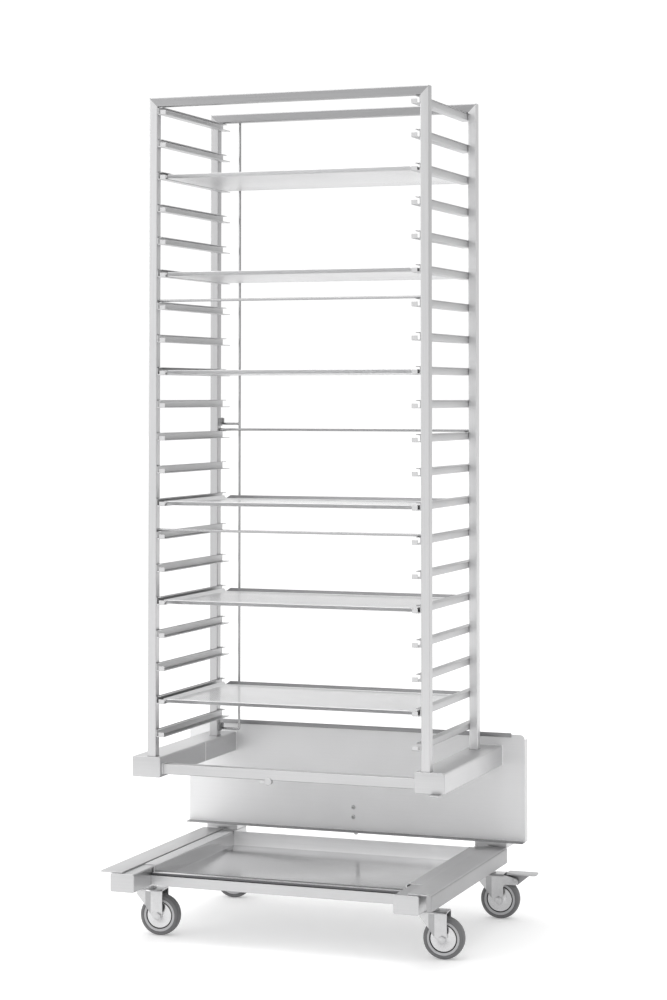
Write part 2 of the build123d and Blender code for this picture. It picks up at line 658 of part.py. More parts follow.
def fork_side(has_brake):
    """The fork seen from the side: a leg that narrows down to the axle, with an arm if it has a brake."""
    centre = (WHEEL_TRAIL, WHEEL_RADIUS)
    low = tangent_point((FORK_BACK, FORK_SHOULDER_Z), centre, FORK_FOOT_RADIUS, 1)
    y = (-FORK_HALF_WIDTH, FORK_HALF_WIDTH)
    leg = prism_y([
        (FORK_BACK, FORK_TOP), (FORK_BACK, FORK_SHOULDER_Z), low, centre,
        (FORK_PAD_END, WHEEL_RADIUS), (FORK_PAD_END, FORK_TOP),
    ], y)
    leg += axle_cylinder(2 * FORK_FOOT_RADIUS, y)
    if has_brake:
        arm_bottom = PEDAL_PIVOT_Z - BRAKE_ARM_RADIUS
        arm = slab((WHEEL_TRAIL, PEDAL_PIVOT_X), y, (WHEEL_RADIUS + FORK_FOOT_RADIUS, FORK_TOP))
        arm += cylinder((PEDAL_PIVOT_X, y[0], PEDAL_PIVOT_Z), (0, 1, 0), 2 * BRAKE_ARM_RADIUS, y[1] - y[0])
        arm += slab((PEDAL_PIVOT_X, PEDAL_PIVOT_X + BRAKE_ARM_RADIUS), y, (PEDAL_PIVOT_Z, FORK_TOP))
        arm -= slab((FORK_PAD_END, BRAKE_ARM_END), y, (0, arm_bottom))
        arm -= axle_cylinder(2 * (WHEEL_RADIUS + BRAKE_ARCH_CLEARANCE), y)
        leg += arm
    return leg


def fork(has_brake):
    """A pressed fork: a crown with the stem's hole and two legs with the axle's holes."""
    end = BRAKE_ARM_END + BRAKE_ARM_RADIUS if has_brake else FORK_PAD_END
    foot = WHEEL_RADIUS - FORK_FOOT_RADIUS
    crown_bottom = FORK_TOP - FORK_CROWN_THICKNESS
    body = Pos(0, 0, foot) * extrude(fork_plan(0, FORK_BACK, end), amount=FORK_TOP - foot)
    hollow = fork_plan(FORK_SHEET, FORK_BACK - FORK_SHEET, end + FORK_SHEET)
    body -= Pos(0, 0, foot) * extrude(hollow, amount=crown_bottom - foot)
    if has_brake:
        gap = FORK_HALF_WIDTH - FORK_SHEET
        body -= slab((FORK_PAD_END, end), (-gap, gap), (crown_bottom, FORK_TOP))
    body &= fork_side(has_brake)
    whole = (-FORK_HALF_WIDTH, FORK_HALF_WIDTH)
    body -= axle_cylinder(AXLE_DIAMETER + 2 * HOLE_CLEARANCE, whole)
    body -= cylinder((0, 0, crown_bottom), (0, 0, 1), STEM_JOURNAL_DIAMETER + 2 * HOLE_CLEARANCE,
                     FORK_CROWN_THICKNESS)
    if has_brake:
        body -= cylinder((PEDAL_PIVOT_X, whole[0], PEDAL_PIVOT_Z), (0, 1, 0),
                         PEDAL_PIN_DIAMETER + 2 * HOLE_CLEARANCE, whole[1] - whole[0])
    return body


def axle():
    """The wheel's bolt, with a hexagonal head in front and a nut behind."""
    half = FORK_HALF_WIDTH
    bolt = axle_cylinder(AXLE_DIAMETER, (-half, half))
    bolt += hexagon((WHEEL_TRAIL, -half, WHEEL_RADIUS), (0, -1, 0), AXLE_HEAD_WIDTH, AXLE_HEAD_HEIGHT)
    bolt += hexagon((WHEEL_TRAIL, half, WHEEL_RADIUS), (0, 1, 0), AXLE_HEAD_WIDTH, AXLE_HEAD_HEIGHT)
    return bolt


def discs():
    """The two bright cover discs beside the wheel, each with a boss that reaches the fork's leg."""
    pieces = []
    inner = CORE_HUB_WIDTH / 2 + DISC_GAP
    leg = FORK_HALF_WIDTH - FORK_SHEET
    for side in (-1, 1):
        flat = sorted((side * inner, side * (inner + DISC_THICKNESS)))
        boss = sorted((side * inner, side * leg))
        disc = axle_cylinder(DISC_DIAMETER, flat) + axle_cylinder(DISC_BOSS_DIAMETER, boss)
        pieces.append(disc - axle_cylinder(AXLE_DIAMETER + 2 * HOLE_CLEARANCE, boss))
    return Compound(pieces)


def wheel_core():
    """The wheel's moulded core: a rim with a shallow recess for the disc on each side, and a bore."""
    half = CORE_WIDTH / 2
    hub = CORE_HUB_WIDTH / 2
    core = axle_cylinder(TYRE_BORE, (-half, half))
    core -= axle_cylinder(CORE_RECESS_DIAMETER, (-half, -hub))
    core -= axle_cylinder(CORE_RECESS_DIAMETER, (hub, half))
    return core - axle_cylinder(AXLE_DIAMETER + 2 * HOLE_CLEARANCE, (-half, half))


def tyre():
    """The tyre, with a rounded crown."""
    half = WHEEL_WIDTH / 2
    shoulder = WHEEL_RADIUS - TYRE_CROWN
    bore = TYRE_BORE / 2
    outline = Polyline((half, shoulder), (half, bore), (-half, bore), (-half, shoulder))
    crown = ThreePointArc((-half, shoulder), (0, WHEEL_RADIUS), (half, shoulder))
    section = make_face([*outline.edges(), crown])
    ring = revolve(Plane.YZ * section, axis=Axis.Y)
    return Pos(WHEEL_TRAIL, 0, WHEEL_RADIUS) * ring


def pedal():
    """The brake pedal: a sloping plate, a nose that reaches down to the tyre, and the pivot pin."""
    half = FORK_HALF_WIDTH - FORK_SHEET - PEDAL_SIDE_GAP
    plate = prism_y([
        (PEDAL_BACK_X, PEDAL_BACK_Z), (PEDAL_TIP_X, PEDAL_TIP_Z),
        (PEDAL_TIP_X, PEDAL_TIP_Z - PEDAL_PLATE), (PEDAL_BACK_X, PEDAL_BACK_Z - PEDAL_PLATE),
    ], (-half, half))
    nose_half = PEDAL_NOSE_WIDTH / 2
    slope = (PEDAL_TIP_Z - PEDAL_BACK_Z) / (PEDAL_TIP_X - PEDAL_BACK_X)

    def under_plate(x):
        return PEDAL_BACK_Z + (x - PEDAL_BACK_X) * slope - PEDAL_PLATE / 2

    web = prism_y([
        (PEDAL_BACK_X, under_plate(PEDAL_BACK_X)), (PEDAL_HEEL_X, under_plate(PEDAL_HEEL_X)),
        (PEDAL_PIVOT_X + nose_half, PEDAL_NOSE_Z), (PEDAL_PIVOT_X - nose_half, PEDAL_NOSE_Z),
    ], (-PEDAL_WEB_WIDTH / 2, PEDAL_WEB_WIDTH / 2))
    length = FORK_HALF_WIDTH + PEDAL_SIDE_GAP
    pin = cylinder((PEDAL_PIVOT_X, -length, PEDAL_PIVOT_Z), (0, 1, 0), PEDAL_PIN_DIAMETER, 2 * length)
    for side in (-1, 1):
        pin += cylinder((PEDAL_PIVOT_X, side * length, PEDAL_PIVOT_Z), (0, side, 0),
                        PEDAL_PIN_HEAD_DIAMETER, PEDAL_PIN_HEAD_HEIGHT)
    return plate + web + pin


def stem():
    """A caster's stem: a rivet head under the crown, a journal, a washer, a collar and a bolt."""
    crown_bottom = FORK_TOP - FORK_CROWN_THICKNESS
    rivet_top = crown_bottom - END_PLAY
    washer_bottom = FORK_TOP + END_PLAY
    collar_bottom = washer_bottom + STEM_WASHER_HEIGHT
    piece = cylinder((0, 0, rivet_top - STEM_RIVET_HEIGHT), (0, 0, 1), STEM_RIVET_DIAMETER, STEM_RIVET_HEIGHT)
    piece += cylinder((0, 0, rivet_top), (0, 0, 1), STEM_JOURNAL_DIAMETER, washer_bottom - rivet_top)
    piece += cylinder((0, 0, washer_bottom), (0, 0, 1), STEM_WASHER_DIAMETER, STEM_WASHER_HEIGHT)
    piece += cylinder((0, 0, collar_bottom), (0, 0, 1), STEM_DIAMETER, SIDE_TUBE_UNDERSIDE - collar_bottom)
    piece += cylinder((0, 0, SIDE_TUBE_UNDERSIDE), (0, 0, 1), STEM_BOLT_DIAMETER, STEM_BOLT_LENGTH)
    return piece


def stem_nut():
    """The nut inside the side tube."""
    bottom = SIDE_TUBE_UNDERSIDE + SIDE_TUBE_WALL
    nut = hexagon((0, 0, bottom), (0, 0, 1), STEM_NUT_WIDTH, STEM_NUT_HEIGHT)
    return nut - cylinder((0, 0, bottom), (0, 0, 1), STEM_BOLT_DIAMETER + 2 * PIVOT_CLEARANCE, STEM_NUT_HEIGHT)


CASTERS = {
    "front_left": (LEFT, FRONT_CASTER_Y, False),
    "front_right": (RIGHT, FRONT_CASTER_Y, False),
    "rear_left": (LEFT, REAR_CASTER_Y, True),
    "rear_right": (RIGHT, REAR_CASTER_Y, True),
}


def caster_place(side, y):
    """Where a caster stands, turned as all four are."""
    return Pos(side * CASTER_X, y, 0) * Rot(0, 0, CASTER_TURN)


def make_nodes():
    """Every piece by its node's name."""
    nodes = {
        "upright_front_left": upright(LEFT, 0),
        "upright_front_right": upright(RIGHT, 0),
        "upright_rear_left": upright(LEFT, REAR_PORTAL_Y),
        "upright_rear_right": upright(RIGHT, REAR_PORTAL_Y),
        "top_rails": Compound([top_rail(0), top_rail(REAR_PORTAL_Y)]),
        "runners_left": runners(LEFT),
        "runners_right": runners(RIGHT),
        "cross_rods": cross_rods(),
        "retaining_bar": retaining_bar(),
        "bar_eyes": bar_eyes(),
        "upper_beam_left": upper_beam(LEFT),
        "upper_beam_right": upper_beam(RIGHT),
        "tube_end_caps": tube_end_caps(),
        "upper_front_rail": upper_front_rail(),
        "rail_lug": rail_lug(),
        "beam_tab": beam_tab(),
        "sealing_plate": sealing_plate(),
        "plate_lip": plate_lip(),
        "plate_screws": plate_screws(),
        "plate_posts": plate_posts(),
        "latch_housing": latch_housing(),
        "latch_pin": latch_pin(),
        "latch_spring": latch_spring(),
        "side_tube_left": side_tube(LEFT),
        "side_tube_right": side_tube(RIGHT),
        "lower_cross_rails": lower_cross_rails(),
        "wing_left": wing(LEFT),
        "wing_right": wing(RIGHT),
        "drip_tray": drip_tray(),
    }
    for number, level in enumerate(TRAY_LEVELS, 1):
        nodes[f"tray_{number}"] = tray(level)
    places = {name: caster_place(side, y) for name, (side, y, has_brake) in CASTERS.items()}
    nodes["caster_stems"] = Compound([place * stem() for place in places.values()])
    nodes["stem_nuts"] = Compound([place * stem_nut() for place in places.values()])
    for name, (side, y, has_brake) in CASTERS.items():
        place = places[name]
        nodes[f"fork_{name}"] = place * fork(has_brake)
        nodes[f"axle_{name}"] = place * axle()
        nodes[f"discs_{name}"] = place * discs()
        nodes[f"core_{name}"] = place * wheel_core()
        nodes[f"tyre_{name}"] = place * tyre()
        if has_brake:
            nodes[f"pedal_{name}"] = place * pedal()
    return nodes


def footprint_centre(nodes):
    """The middle of the whole trolley's footprint."""
    box = Compound(list(nodes.values())).bounding_box()
    return ((box.min.X + box.max.X) / 2, (box.min.Y + box.max.Y) / 2)


def print_places(centre):
    """Print the pivots in the finished frame."""
    turn = math.radians(CASTER_TURN)

    def caster_point(side, y, along, z):
        x = side * CASTER_X + along * math.cos(turn)
        return (x - centre[0], y + along * math.sin(turn) - centre[1], z)

    print("origin shift", [round(value, 4) for value in centre])
    print("bar pivot", round(PIVOT_X - centre[0], 4), round(PIVOT_Y - centre[1], 4))
    print("latch axis", round(-centre[0], 4), round(LATCH_Y - centre[1], 4))
    print("axle direction", round(-math.sin(turn), 6), round(math.cos(turn), 6))
    for name, (side, y, has_brake) in CASTERS.items():
        print(name, "swivel", [round(value, 4) for value in caster_point(side, y, 0, 0)],
              "wheel", [round(value, 4) for value in caster_point(side, y, WHEEL_TRAIL, WHEEL_RADIUS)],
              "pedal", [round(value, 4) for value in caster_point(side, y, PEDAL_PIVOT_X, PEDAL_PIVOT_Z)])


def main():
    """Make every piece, move them to the finished frame and write one file for each node."""
    nodes = make_nodes()
    centre = footprint_centre(nodes)
    os.makedirs("parts", exist_ok=True)
    for name, shape in nodes.items():
        export_step(Pos(-centre[0], -centre[1], 0) * shape, f"parts/{name}.step")
    print_places(centre)


main()
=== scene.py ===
"""Looks of the drive-in trolley: a tray rack on a wheeled chassis, with a sealing plate at the rear.

Shapes are modelled in millimetres in the maker's frame (X = 0 in the middle of the rack, Y = 0 at the
front face of the front uprights, Z = 0 on the floor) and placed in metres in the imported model's frame.
"""

import json
import logging
import math
from collections.abc import Callable, Iterable, Sequence
from dataclasses import dataclass, field
from enum import Enum

import bmesh
import bpy
from bmesh.types import BMEdge, BMesh, BMFace, BMVert
from mathutils import Matrix, Vector

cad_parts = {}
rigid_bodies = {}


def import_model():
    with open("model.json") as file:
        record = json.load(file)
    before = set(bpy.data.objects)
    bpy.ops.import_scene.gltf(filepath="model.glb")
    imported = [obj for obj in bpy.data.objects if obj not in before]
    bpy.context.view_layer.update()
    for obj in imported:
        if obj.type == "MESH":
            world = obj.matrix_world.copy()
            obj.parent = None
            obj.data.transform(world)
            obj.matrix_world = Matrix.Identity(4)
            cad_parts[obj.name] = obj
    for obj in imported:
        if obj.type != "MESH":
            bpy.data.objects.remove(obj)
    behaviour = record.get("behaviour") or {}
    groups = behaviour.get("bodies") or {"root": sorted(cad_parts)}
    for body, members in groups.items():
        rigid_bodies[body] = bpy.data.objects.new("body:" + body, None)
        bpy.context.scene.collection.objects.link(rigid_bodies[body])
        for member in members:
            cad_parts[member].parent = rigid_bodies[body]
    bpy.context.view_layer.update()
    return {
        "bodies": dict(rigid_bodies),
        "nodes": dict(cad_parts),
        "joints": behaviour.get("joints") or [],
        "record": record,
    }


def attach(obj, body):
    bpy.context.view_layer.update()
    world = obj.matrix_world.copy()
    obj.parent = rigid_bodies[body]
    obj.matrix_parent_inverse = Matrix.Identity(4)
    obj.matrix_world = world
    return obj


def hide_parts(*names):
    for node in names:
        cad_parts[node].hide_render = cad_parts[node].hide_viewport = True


LOG = logging.getLogger("trolley")
METRES = 0.001
FOOTPRINT_CENTRE = Vector((10.0563, 156.5, 0.0))

Span = tuple[float, float]
Point = tuple[float, float, float]
Value = bpy.types.NodeSocket | float | tuple[float, ...]
Colour = tuple[float, float, float]


class Side(Enum):
    """The two sides of the trolley, seen from the front."""

    LEFT = -1
    RIGHT = 1

    def span(self, inner: float, outer: float) -> Span:
        """The X range between two distances from the middle on this side."""
        return (self.value * inner, self.value * outer)


class Grain(Enum):
    """Which way the brushing runs. The value stretches the noise, per metre along X, Y and Z."""

    ALONG_X = (14.0, 1300.0, 1300.0)
    ALONG_Y = (1300.0, 14.0, 1300.0)
    ALONG_Z = (1300.0, 1300.0, 14.0)
    ROUND = (420.0, 420.0, 420.0)


# Shader helpers


def add_node(tree: bpy.types.NodeTree, kind: str, inputs: dict | None = None, **settings) -> bpy.types.Node:
    """Adds a shader node.

    Args:
        tree: The tree it goes into.
        kind: Its type name.
        inputs: A value or a socket for each named or numbered input.
        settings: Its properties.

    Returns:
        The node.
    """
    node = tree.nodes.new(kind)
    for name, value in settings.items():
        setattr(node, name, value)
    fill_inputs(tree, node, inputs or {})
    return node


def fill_inputs(tree: bpy.types.NodeTree, node: bpy.types.Node, inputs: dict) -> None:
    """Links the sockets and sets the values among a node's inputs."""
    for key, value in inputs.items():
        if isinstance(value, bpy.types.NodeSocket):
            tree.links.new(value, node.inputs[key])
        else:
            node.inputs[key].default_value = value


def math_node(tree: bpy.types.NodeTree, operation: str, first: Value, second: Value = 0.0,
              clamp: bool = False) -> bpy.types.NodeSocket:
    """Adds a Math node and returns its result."""
    node = add_node(tree, "ShaderNodeMath", {0: first, 1: second}, operation=operation, use_clamp=clamp)
    return node.outputs[0]


def ramp(tree: bpy.types.NodeTree, value: Value, low: float, high: float, to_low: float,
         to_high: float) -> bpy.types.NodeSocket:
    """Adds a clamped Map Range node and returns its result."""
    node = add_node(tree, "ShaderNodeMapRange", {
        "Value": value, "From Min": low, "From Max": high, "To Min": to_low, "To Max": to_high,
    })
    return node.outputs[0]


def new_group(name: str, inputs: dict[str, tuple[str, object]],
              outputs: dict[str, str]) -> tuple[bpy.types.NodeTree, bpy.types.Node, bpy.types.Node]:
    """Makes an empty node group.

    Args:
        name: The group's name.
        inputs: Each input's socket type and default value.
        outputs: Each output's socket type.

    Returns:
        The group, its input node and its output node.
    """
    group = bpy.data.node_groups.new(name, "ShaderNodeTree")
    for label, (kind, default) in inputs.items():
        socket = group.interface.new_socket(label, in_out="INPUT", socket_type=kind)
        if default is not None:
            socket.default_value = default
    for label, kind in outputs.items():
        group.interface.new_socket(label, in_out="OUTPUT", socket_type=kind)
    return group, group.nodes.new("NodeGroupInput"), group.nodes.new("NodeGroupOutput")


class Effects:
    """The shader effects that several finishes share. Each is a node group that is built once."""

    _made: dict[str, bpy.types.NodeTree] = {}

    @classmethod
    def place(cls, tree: bpy.types.NodeTree, effect: Callable[[], bpy.types.NodeTree],
              inputs: dict) -> bpy.types.Node:
        """Places an effect in a material with its own values.

        Args:
            tree: The material's tree.
            effect: The method that builds the group.
            inputs: Values or sockets for the group's inputs.

        Returns:
            The group node.
        """
        name = effect.__name__
        if name not in cls._made:
            cls._made[name] = effect()
        return add_node(tree, "ShaderNodeGroup", inputs, node_tree=cls._made[name])

    @staticmethod
    def brushed_grain() -> bpy.types.NodeTree:
        """Fine parallel scratches: a noise stretched along the brushing."""
        group, ins, outs = new_group(
            "brushed_grain",
            {"Coordinates": ("NodeSocketVector", None),
             "Stretch": ("NodeSocketVector", (1000.0, 10.0, 1000.0))},
            {"Grain": "NodeSocketFloat"})
        stretched = add_node(group, "ShaderNodeVectorMath", {
            0: ins.outputs["Coordinates"], 1: ins.outputs["Stretch"],
        }, operation="MULTIPLY").outputs[0]
        fine = add_node(group, "ShaderNodeTexNoise", {"Vector": stretched, "Scale": 1.0, "Detail": 3.0,
                                                      "Roughness": 0.6})
        broad = add_node(group, "ShaderNodeTexNoise", {"Vector": stretched, "Scale": 0.23, "Detail": 1.0})
        both = math_node(group, "MULTIPLY_ADD", fine.outputs["Fac"], 0.65)
        group.links.new(math_node(group, "MULTIPLY", broad.outputs["Fac"], 0.35), both.node.inputs[2])
        group.links.new(ramp(group, both, 0.3, 0.7, 0.0, 1.0), outs.inputs["Grain"])
        return group

    @staticmethod
    def hand_marks() -> bpy.types.NodeTree:
        """Soft cloudy patches where the metal has been wiped and handled."""
        group, ins, outs = new_group(
            "hand_marks",
            {"Coordinates": ("NodeSocketVector", None), "Size": ("NodeSocketFloat", 9.0)},
            {"Marks": "NodeSocketFloat"})
        cloud = add_node(group, "ShaderNodeTexNoise", {
            "Vector": ins.outputs["Coordinates"], "Scale": ins.outputs["Size"],
            "Detail": 4.0, "Distortion": 0.6,
        })
        group.links.new(ramp(group, cloud.outputs["Fac"], 0.36, 0.68, 0.0, 1.0), outs.inputs["Marks"])
        return group

    @staticmethod
    def edge_wear_and_sheen() -> bpy.types.NodeTree:
        """Softly rounded edges, with a mask along them, used for wear and, on the steels, for a painted
        edge highlight.
        """
        group, ins, outs = new_group(
            "edge_wear_and_sheen",
            {"Radius": ("NodeSocketFloat", 0.0005), "Strength": ("NodeSocketFloat", 3.0)},
            {"Normal": "NodeSocketVector", "Edge": "NodeSocketFloat"})
        rounded = add_node(group, "ShaderNodeBevel", {"Radius": ins.outputs["Radius"]}, samples=4)
        flat = group.nodes.new("ShaderNodeNewGeometry")
        turn = add_node(group, "ShaderNodeVectorMath", {0: rounded.outputs[0], 1: flat.outputs["Normal"]},
                        operation="DOT_PRODUCT").outputs["Value"]
        bend = math_node(group, "SUBTRACT", 1.0, turn)
        edge = math_node(group, "MULTIPLY", bend, ins.outputs["Strength"], clamp=True)
        group.links.new(rounded.outputs[0], outs.inputs["Normal"])
        group.links.new(edge, outs.inputs["Edge"])
        return group

    @staticmethod
    def perforation() -> bpy.types.NodeTree:
        """Round holes in staggered rows, inside a rectangle round the pattern's middle."""
        group, ins, outs = new_group(
            "perforation",
            {"Coordinates": ("NodeSocketVector", None), "Pitch": ("NodeSocketFloat", 0.005),
             "Hole": ("NodeSocketFloat", 0.003), "Half Width": ("NodeSocketFloat", 0.25),
             "Half Depth": ("NodeSocketFloat", 0.15)},
            {"Open": "NodeSocketFloat"})
        apart = add_node(group, "ShaderNodeSeparateXYZ", {0: ins.outputs["Coordinates"]})
        row_pitch = math_node(group, "MULTIPLY", ins.outputs["Pitch"], math.sqrt(3.0))

        def to_middle(value: Value, pitch: Value, shift: float) -> bpy.types.NodeSocket:
            """The signed distance from the nearest line of a set that is one pitch apart."""
            count = math_node(group, "ADD", math_node(group, "DIVIDE", value, pitch), shift)
            from_line = math_node(group, "SUBTRACT", math_node(group, "FRACT", count), 0.5)
            return math_node(group, "MULTIPLY", from_line, pitch)

        distances = []
        for shift in (0.0, 0.5):
            x = to_middle(apart.outputs[0], ins.outputs["Pitch"], shift)
            y = to_middle(apart.outputs[1], row_pitch, shift)
            squares = [math_node(group, "MULTIPLY", value, value) for value in (x, y)]
            distances.append(math_node(group, "SQRT", math_node(group, "ADD", *squares)))
        nearest = math_node(group, "MINIMUM", *distances)
        radius = math_node(group, "MULTIPLY", ins.outputs["Hole"], 0.5)
        hole = math_node(group, "LESS_THAN", nearest, radius)
        for socket, limit in ((apart.outputs[0], "Half Width"), (apart.outputs[1], "Half Depth")):
            inside = math_node(group, "LESS_THAN", math_node(group, "ABSOLUTE", socket), ins.outputs[limit])
            hole = math_node(group, "MULTIPLY", hole, inside)
        group.links.new(hole, outs.inputs["Open"])
        return group


# Finishes


def colour_mix(tree: bpy.types.NodeTree, factor: Value, first: Value,
               second: Value) -> bpy.types.NodeSocket:
    """Adds a colour Mix node and returns its result."""
    node = add_node(tree, "ShaderNodeMix", {0: factor}, data_type="RGBA")
    for key, value in ((6, first), (7, second)):
        if isinstance(value, bpy.types.NodeSocket):
            tree.links.new(value, node.inputs[key])
        else:
            node.inputs[key].default_value = (*value, 1.0)
    return node.outputs[2]


def scaled(colour: Colour, factor: float) -> Colour:
    """A colour made lighter or darker."""
    return tuple(min(1.0, channel * factor) for channel in colour)


class Finish:
    """A surface finish. Its material is built the first time that a piece needs it."""

    name: str
    slot: str

    def material(self) -> bpy.types.Material:
        """The finish's material."""
        known = bpy.data.materials.get(self.name)
        if known is not None:
            return known
        made = bpy.data.materials.new(self.name)
        made.use_nodes = True
        tree = made.node_tree
        shader = next(node for node in tree.nodes if node.type == "BSDF_PRINCIPLED")
        self.wire(tree, shader)
        return made

    def wire(self, tree: bpy.types.NodeTree, shader: bpy.types.Node) -> None:
        """Wires the material's nodes into its shader."""
        raise NotImplementedError


@dataclass(frozen=True)
class Steel(Finish):
    """Brushed or polished metal with grain, wiping marks and bright edges."""

    name: str
    slot: str
    colour: Colour
    roughness: float
    grain: Grain
    contrast: float = 0.05
    relief: float = 0.05
    edge_radius: float = 0.0006
    metallic: float = 1.0

    def wire(self, tree: bpy.types.NodeTree, shader: bpy.types.Node) -> None:
        """Wires the metal's colour, roughness and relief."""
        place = tree.nodes.new("ShaderNodeTexCoord").outputs["Object"]
        grain = Effects.place(tree, Effects.brushed_grain,
                              {"Coordinates": place, "Stretch": self.grain.value})
        marks = Effects.place(tree, Effects.hand_marks, {"Coordinates": place, "Size": 7.0})
        edges = Effects.place(tree, Effects.edge_wear_and_sheen, {"Radius": self.edge_radius, "Strength": 2.2})
        brushed = colour_mix(tree, grain.outputs["Grain"], scaled(self.colour, 1.0 - self.contrast),
                             scaled(self.colour, 1.0 + self.contrast))
        wiped = colour_mix(tree, math_node(tree, "MULTIPLY", marks.outputs["Marks"], 0.25), brushed,
                           scaled(self.colour, 0.93))
        # Painted highlight, in part: the colour is lighter along the edges, partly as polish from handling.
        edge_sheen = colour_mix(tree, math_node(tree, "MULTIPLY", edges.outputs["Edge"], 0.6), wiped,
                            scaled(self.colour, 1.1))
        tree.links.new(edge_sheen, shader.inputs["Base Color"])
        rough = ramp(tree, grain.outputs["Grain"], 0.0, 1.0, self.roughness - 0.04, self.roughness + 0.05)
        rough = math_node(tree, "ADD", rough, math_node(tree, "MULTIPLY", marks.outputs["Marks"], 0.05))
        polish = math_node(tree, "MULTIPLY", edges.outputs["Edge"], 0.08)
        rough = math_node(tree, "SUBTRACT", rough, polish, clamp=True)
        tree.links.new(rough, shader.inputs["Roughness"])
        bump = add_node(tree, "ShaderNodeBump", {
            "Height": grain.outputs["Grain"], "Strength": self.relief, "Distance": 0.0003,
            "Normal": edges.outputs["Normal"],
        })
        tree.links.new(bump.outputs[0], shader.inputs["Normal"])
        shader.inputs["Metallic"].default_value = self.metallic


@dataclass(frozen=True)
class PerforatedSteel(Steel):
    """Sheet steel with staggered round holes inside a rectangle."""

    centre: tuple[float, float] = (0.0, 0.0)
    half_size: tuple[float, float] = (0.25, 0.145)
    pitch: float = 0.004
    hole: float = 0.0022

    def wire(self, tree: bpy.types.NodeTree, shader: bpy.types.Node) -> None:
        """Wires the metal, then cuts the holes."""
        super().wire(tree, shader)
        place = tree.nodes.new("ShaderNodeTexCoord").outputs["Object"]
        centred = add_node(tree, "ShaderNodeMapping", {
            "Vector": place, "Location": (-self.centre[0], -self.centre[1], 0.0),
        }).outputs[0]
        holes = Effects.place(tree, Effects.perforation, {
            "Coordinates": centred, "Pitch": self.pitch, "Hole": self.hole,
            "Half Width": self.half_size[0], "Half Depth": self.half_size[1],
        })
        solid = math_node(tree, "SUBTRACT", 1.0, holes.outputs["Open"], clamp=True)
        tree.links.new(solid, shader.inputs["Alpha"])


@dataclass(frozen=True)
class Rubber(Finish):
    """Moulded grey rubber or plastic with a fine mottle and a little floor dust."""

    name: str
    slot: str
    colour: Colour
    dust: Colour
    roughness: float
    relief: float = 0.12

    def wire(self, tree: bpy.types.NodeTree, shader: bpy.types.Node) -> None:
        """Wires the mottle, the dust and the relief."""
        place = tree.nodes.new("ShaderNodeTexCoord").outputs["Object"]
        marks = Effects.place(tree, Effects.hand_marks, {"Coordinates": place, "Size": 60.0})
        edges = Effects.place(tree, Effects.edge_wear_and_sheen, {"Radius": 0.0006, "Strength": 1.5})
        mottle = add_node(tree, "ShaderNodeTexNoise", {"Vector": place, "Scale": 900.0, "Detail": 2.0})
        base = colour_mix(tree, mottle.outputs["Fac"], scaled(self.colour, 0.9), scaled(self.colour, 1.1))
        dusty = colour_mix(tree, math_node(tree, "MULTIPLY", marks.outputs["Marks"], 0.35), base, self.dust)
        worn = colour_mix(tree, math_node(tree, "MULTIPLY", edges.outputs["Edge"], 0.5), dusty, self.dust)
        tree.links.new(worn, shader.inputs["Base Color"])
        tree.links.new(ramp(tree, marks.outputs["Marks"], 0.0, 1.0, self.roughness, self.roughness + 0.12),
                       shader.inputs["Roughness"])
        bump = add_node(tree, "ShaderNodeBump", {
            "Height": mottle.outputs["Fac"], "Strength": self.relief, "Distance": 0.0002,
            "Normal": edges.outputs["Normal"],
        })
        tree.links.new(bump.outputs[0], shader.inputs["Normal"])


def grey(value: float, blue: float = 0.005) -> Colour:
    """A grey, with a trace more blue."""
    return (value, value, round(value + blue, 3))


STAINLESS = grey(0.53)
SMOOTH = {"contrast": 0.02, "relief": 0.02, "edge_radius": 0.0003}
SOFT_GRAIN = {"contrast": 0.03, "relief": 0.03, "edge_radius": 0.0003}
BLASTED = {"contrast": 0.08, "relief": 0.08}

SATIN_X = Steel("satin_steel_x", "stainless", STAINLESS, 0.32, Grain.ALONG_X)
SATIN_Y = Steel("satin_steel_y", "stainless", STAINLESS, 0.32, Grain.ALONG_Y)
SATIN_Z = Steel("satin_steel_z", "stainless", grey(0.57), 0.3, Grain.ALONG_Z)
# Painted shade: a darker copy of the uprights' steel for the rear left upright, for the light falling off
# towards the rear.
REAR_Z_PAINTED_SHADE = Steel("rear_steel_z_painted_shade", "stainless", grey(0.49), 0.3, Grain.ALONG_Z)
# Painted light: a lighter, less metallic copy of the uprights' steel for the rear right upright.
REAR_RIGHT_Z_PAINTED_LIGHT = Steel("rear_right_steel_z_painted_light", "stainless", grey(0.68), 0.34, Grain.ALONG_Z, metallic=0.9)
BEAM_Y = Steel("beam_steel_y", "stainless", grey(0.6), 0.34, Grain.ALONG_Y)
# Painted shade: the top rails take a darker steel, for the light falling off at the rear rail.
RAIL_X_PAINTED_SHADE = Steel("top_rail_steel_painted_shade", "stainless", grey(0.35), 0.3, Grain.ALONG_X)
SATIN_PLATE = Steel("satin_sheet_x", "stainless", grey(0.8), 0.55, Grain.ALONG_X, contrast=0.02,
                    relief=0.02, edge_radius=0.0004, metallic=0.6)
SATIN_TRAY = Steel("drip_tray_sheet", "stainless", grey(0.7), 0.15, Grain.ALONG_X, **SMOOTH)
# Painted light: a lighter copy of the drip tray's sheet for its rear wall.
TRAY_WALL_PAINTED_LIGHT = Steel("drip_tray_wall_painted_light", "stainless", grey(0.88), 0.45, Grain.ALONG_X, metallic=0.7,
                  **SOFT_GRAIN)
# Painted shade: a darker copy of the drip tray's sheet for the tops of its side flanges.
TRAY_BROW_PAINTED_SHADE = Steel("drip_tray_brow_painted_shade", "stainless", grey(0.6), 0.34, Grain.ALONG_Y, metallic=0.9,
                  **SOFT_GRAIN)
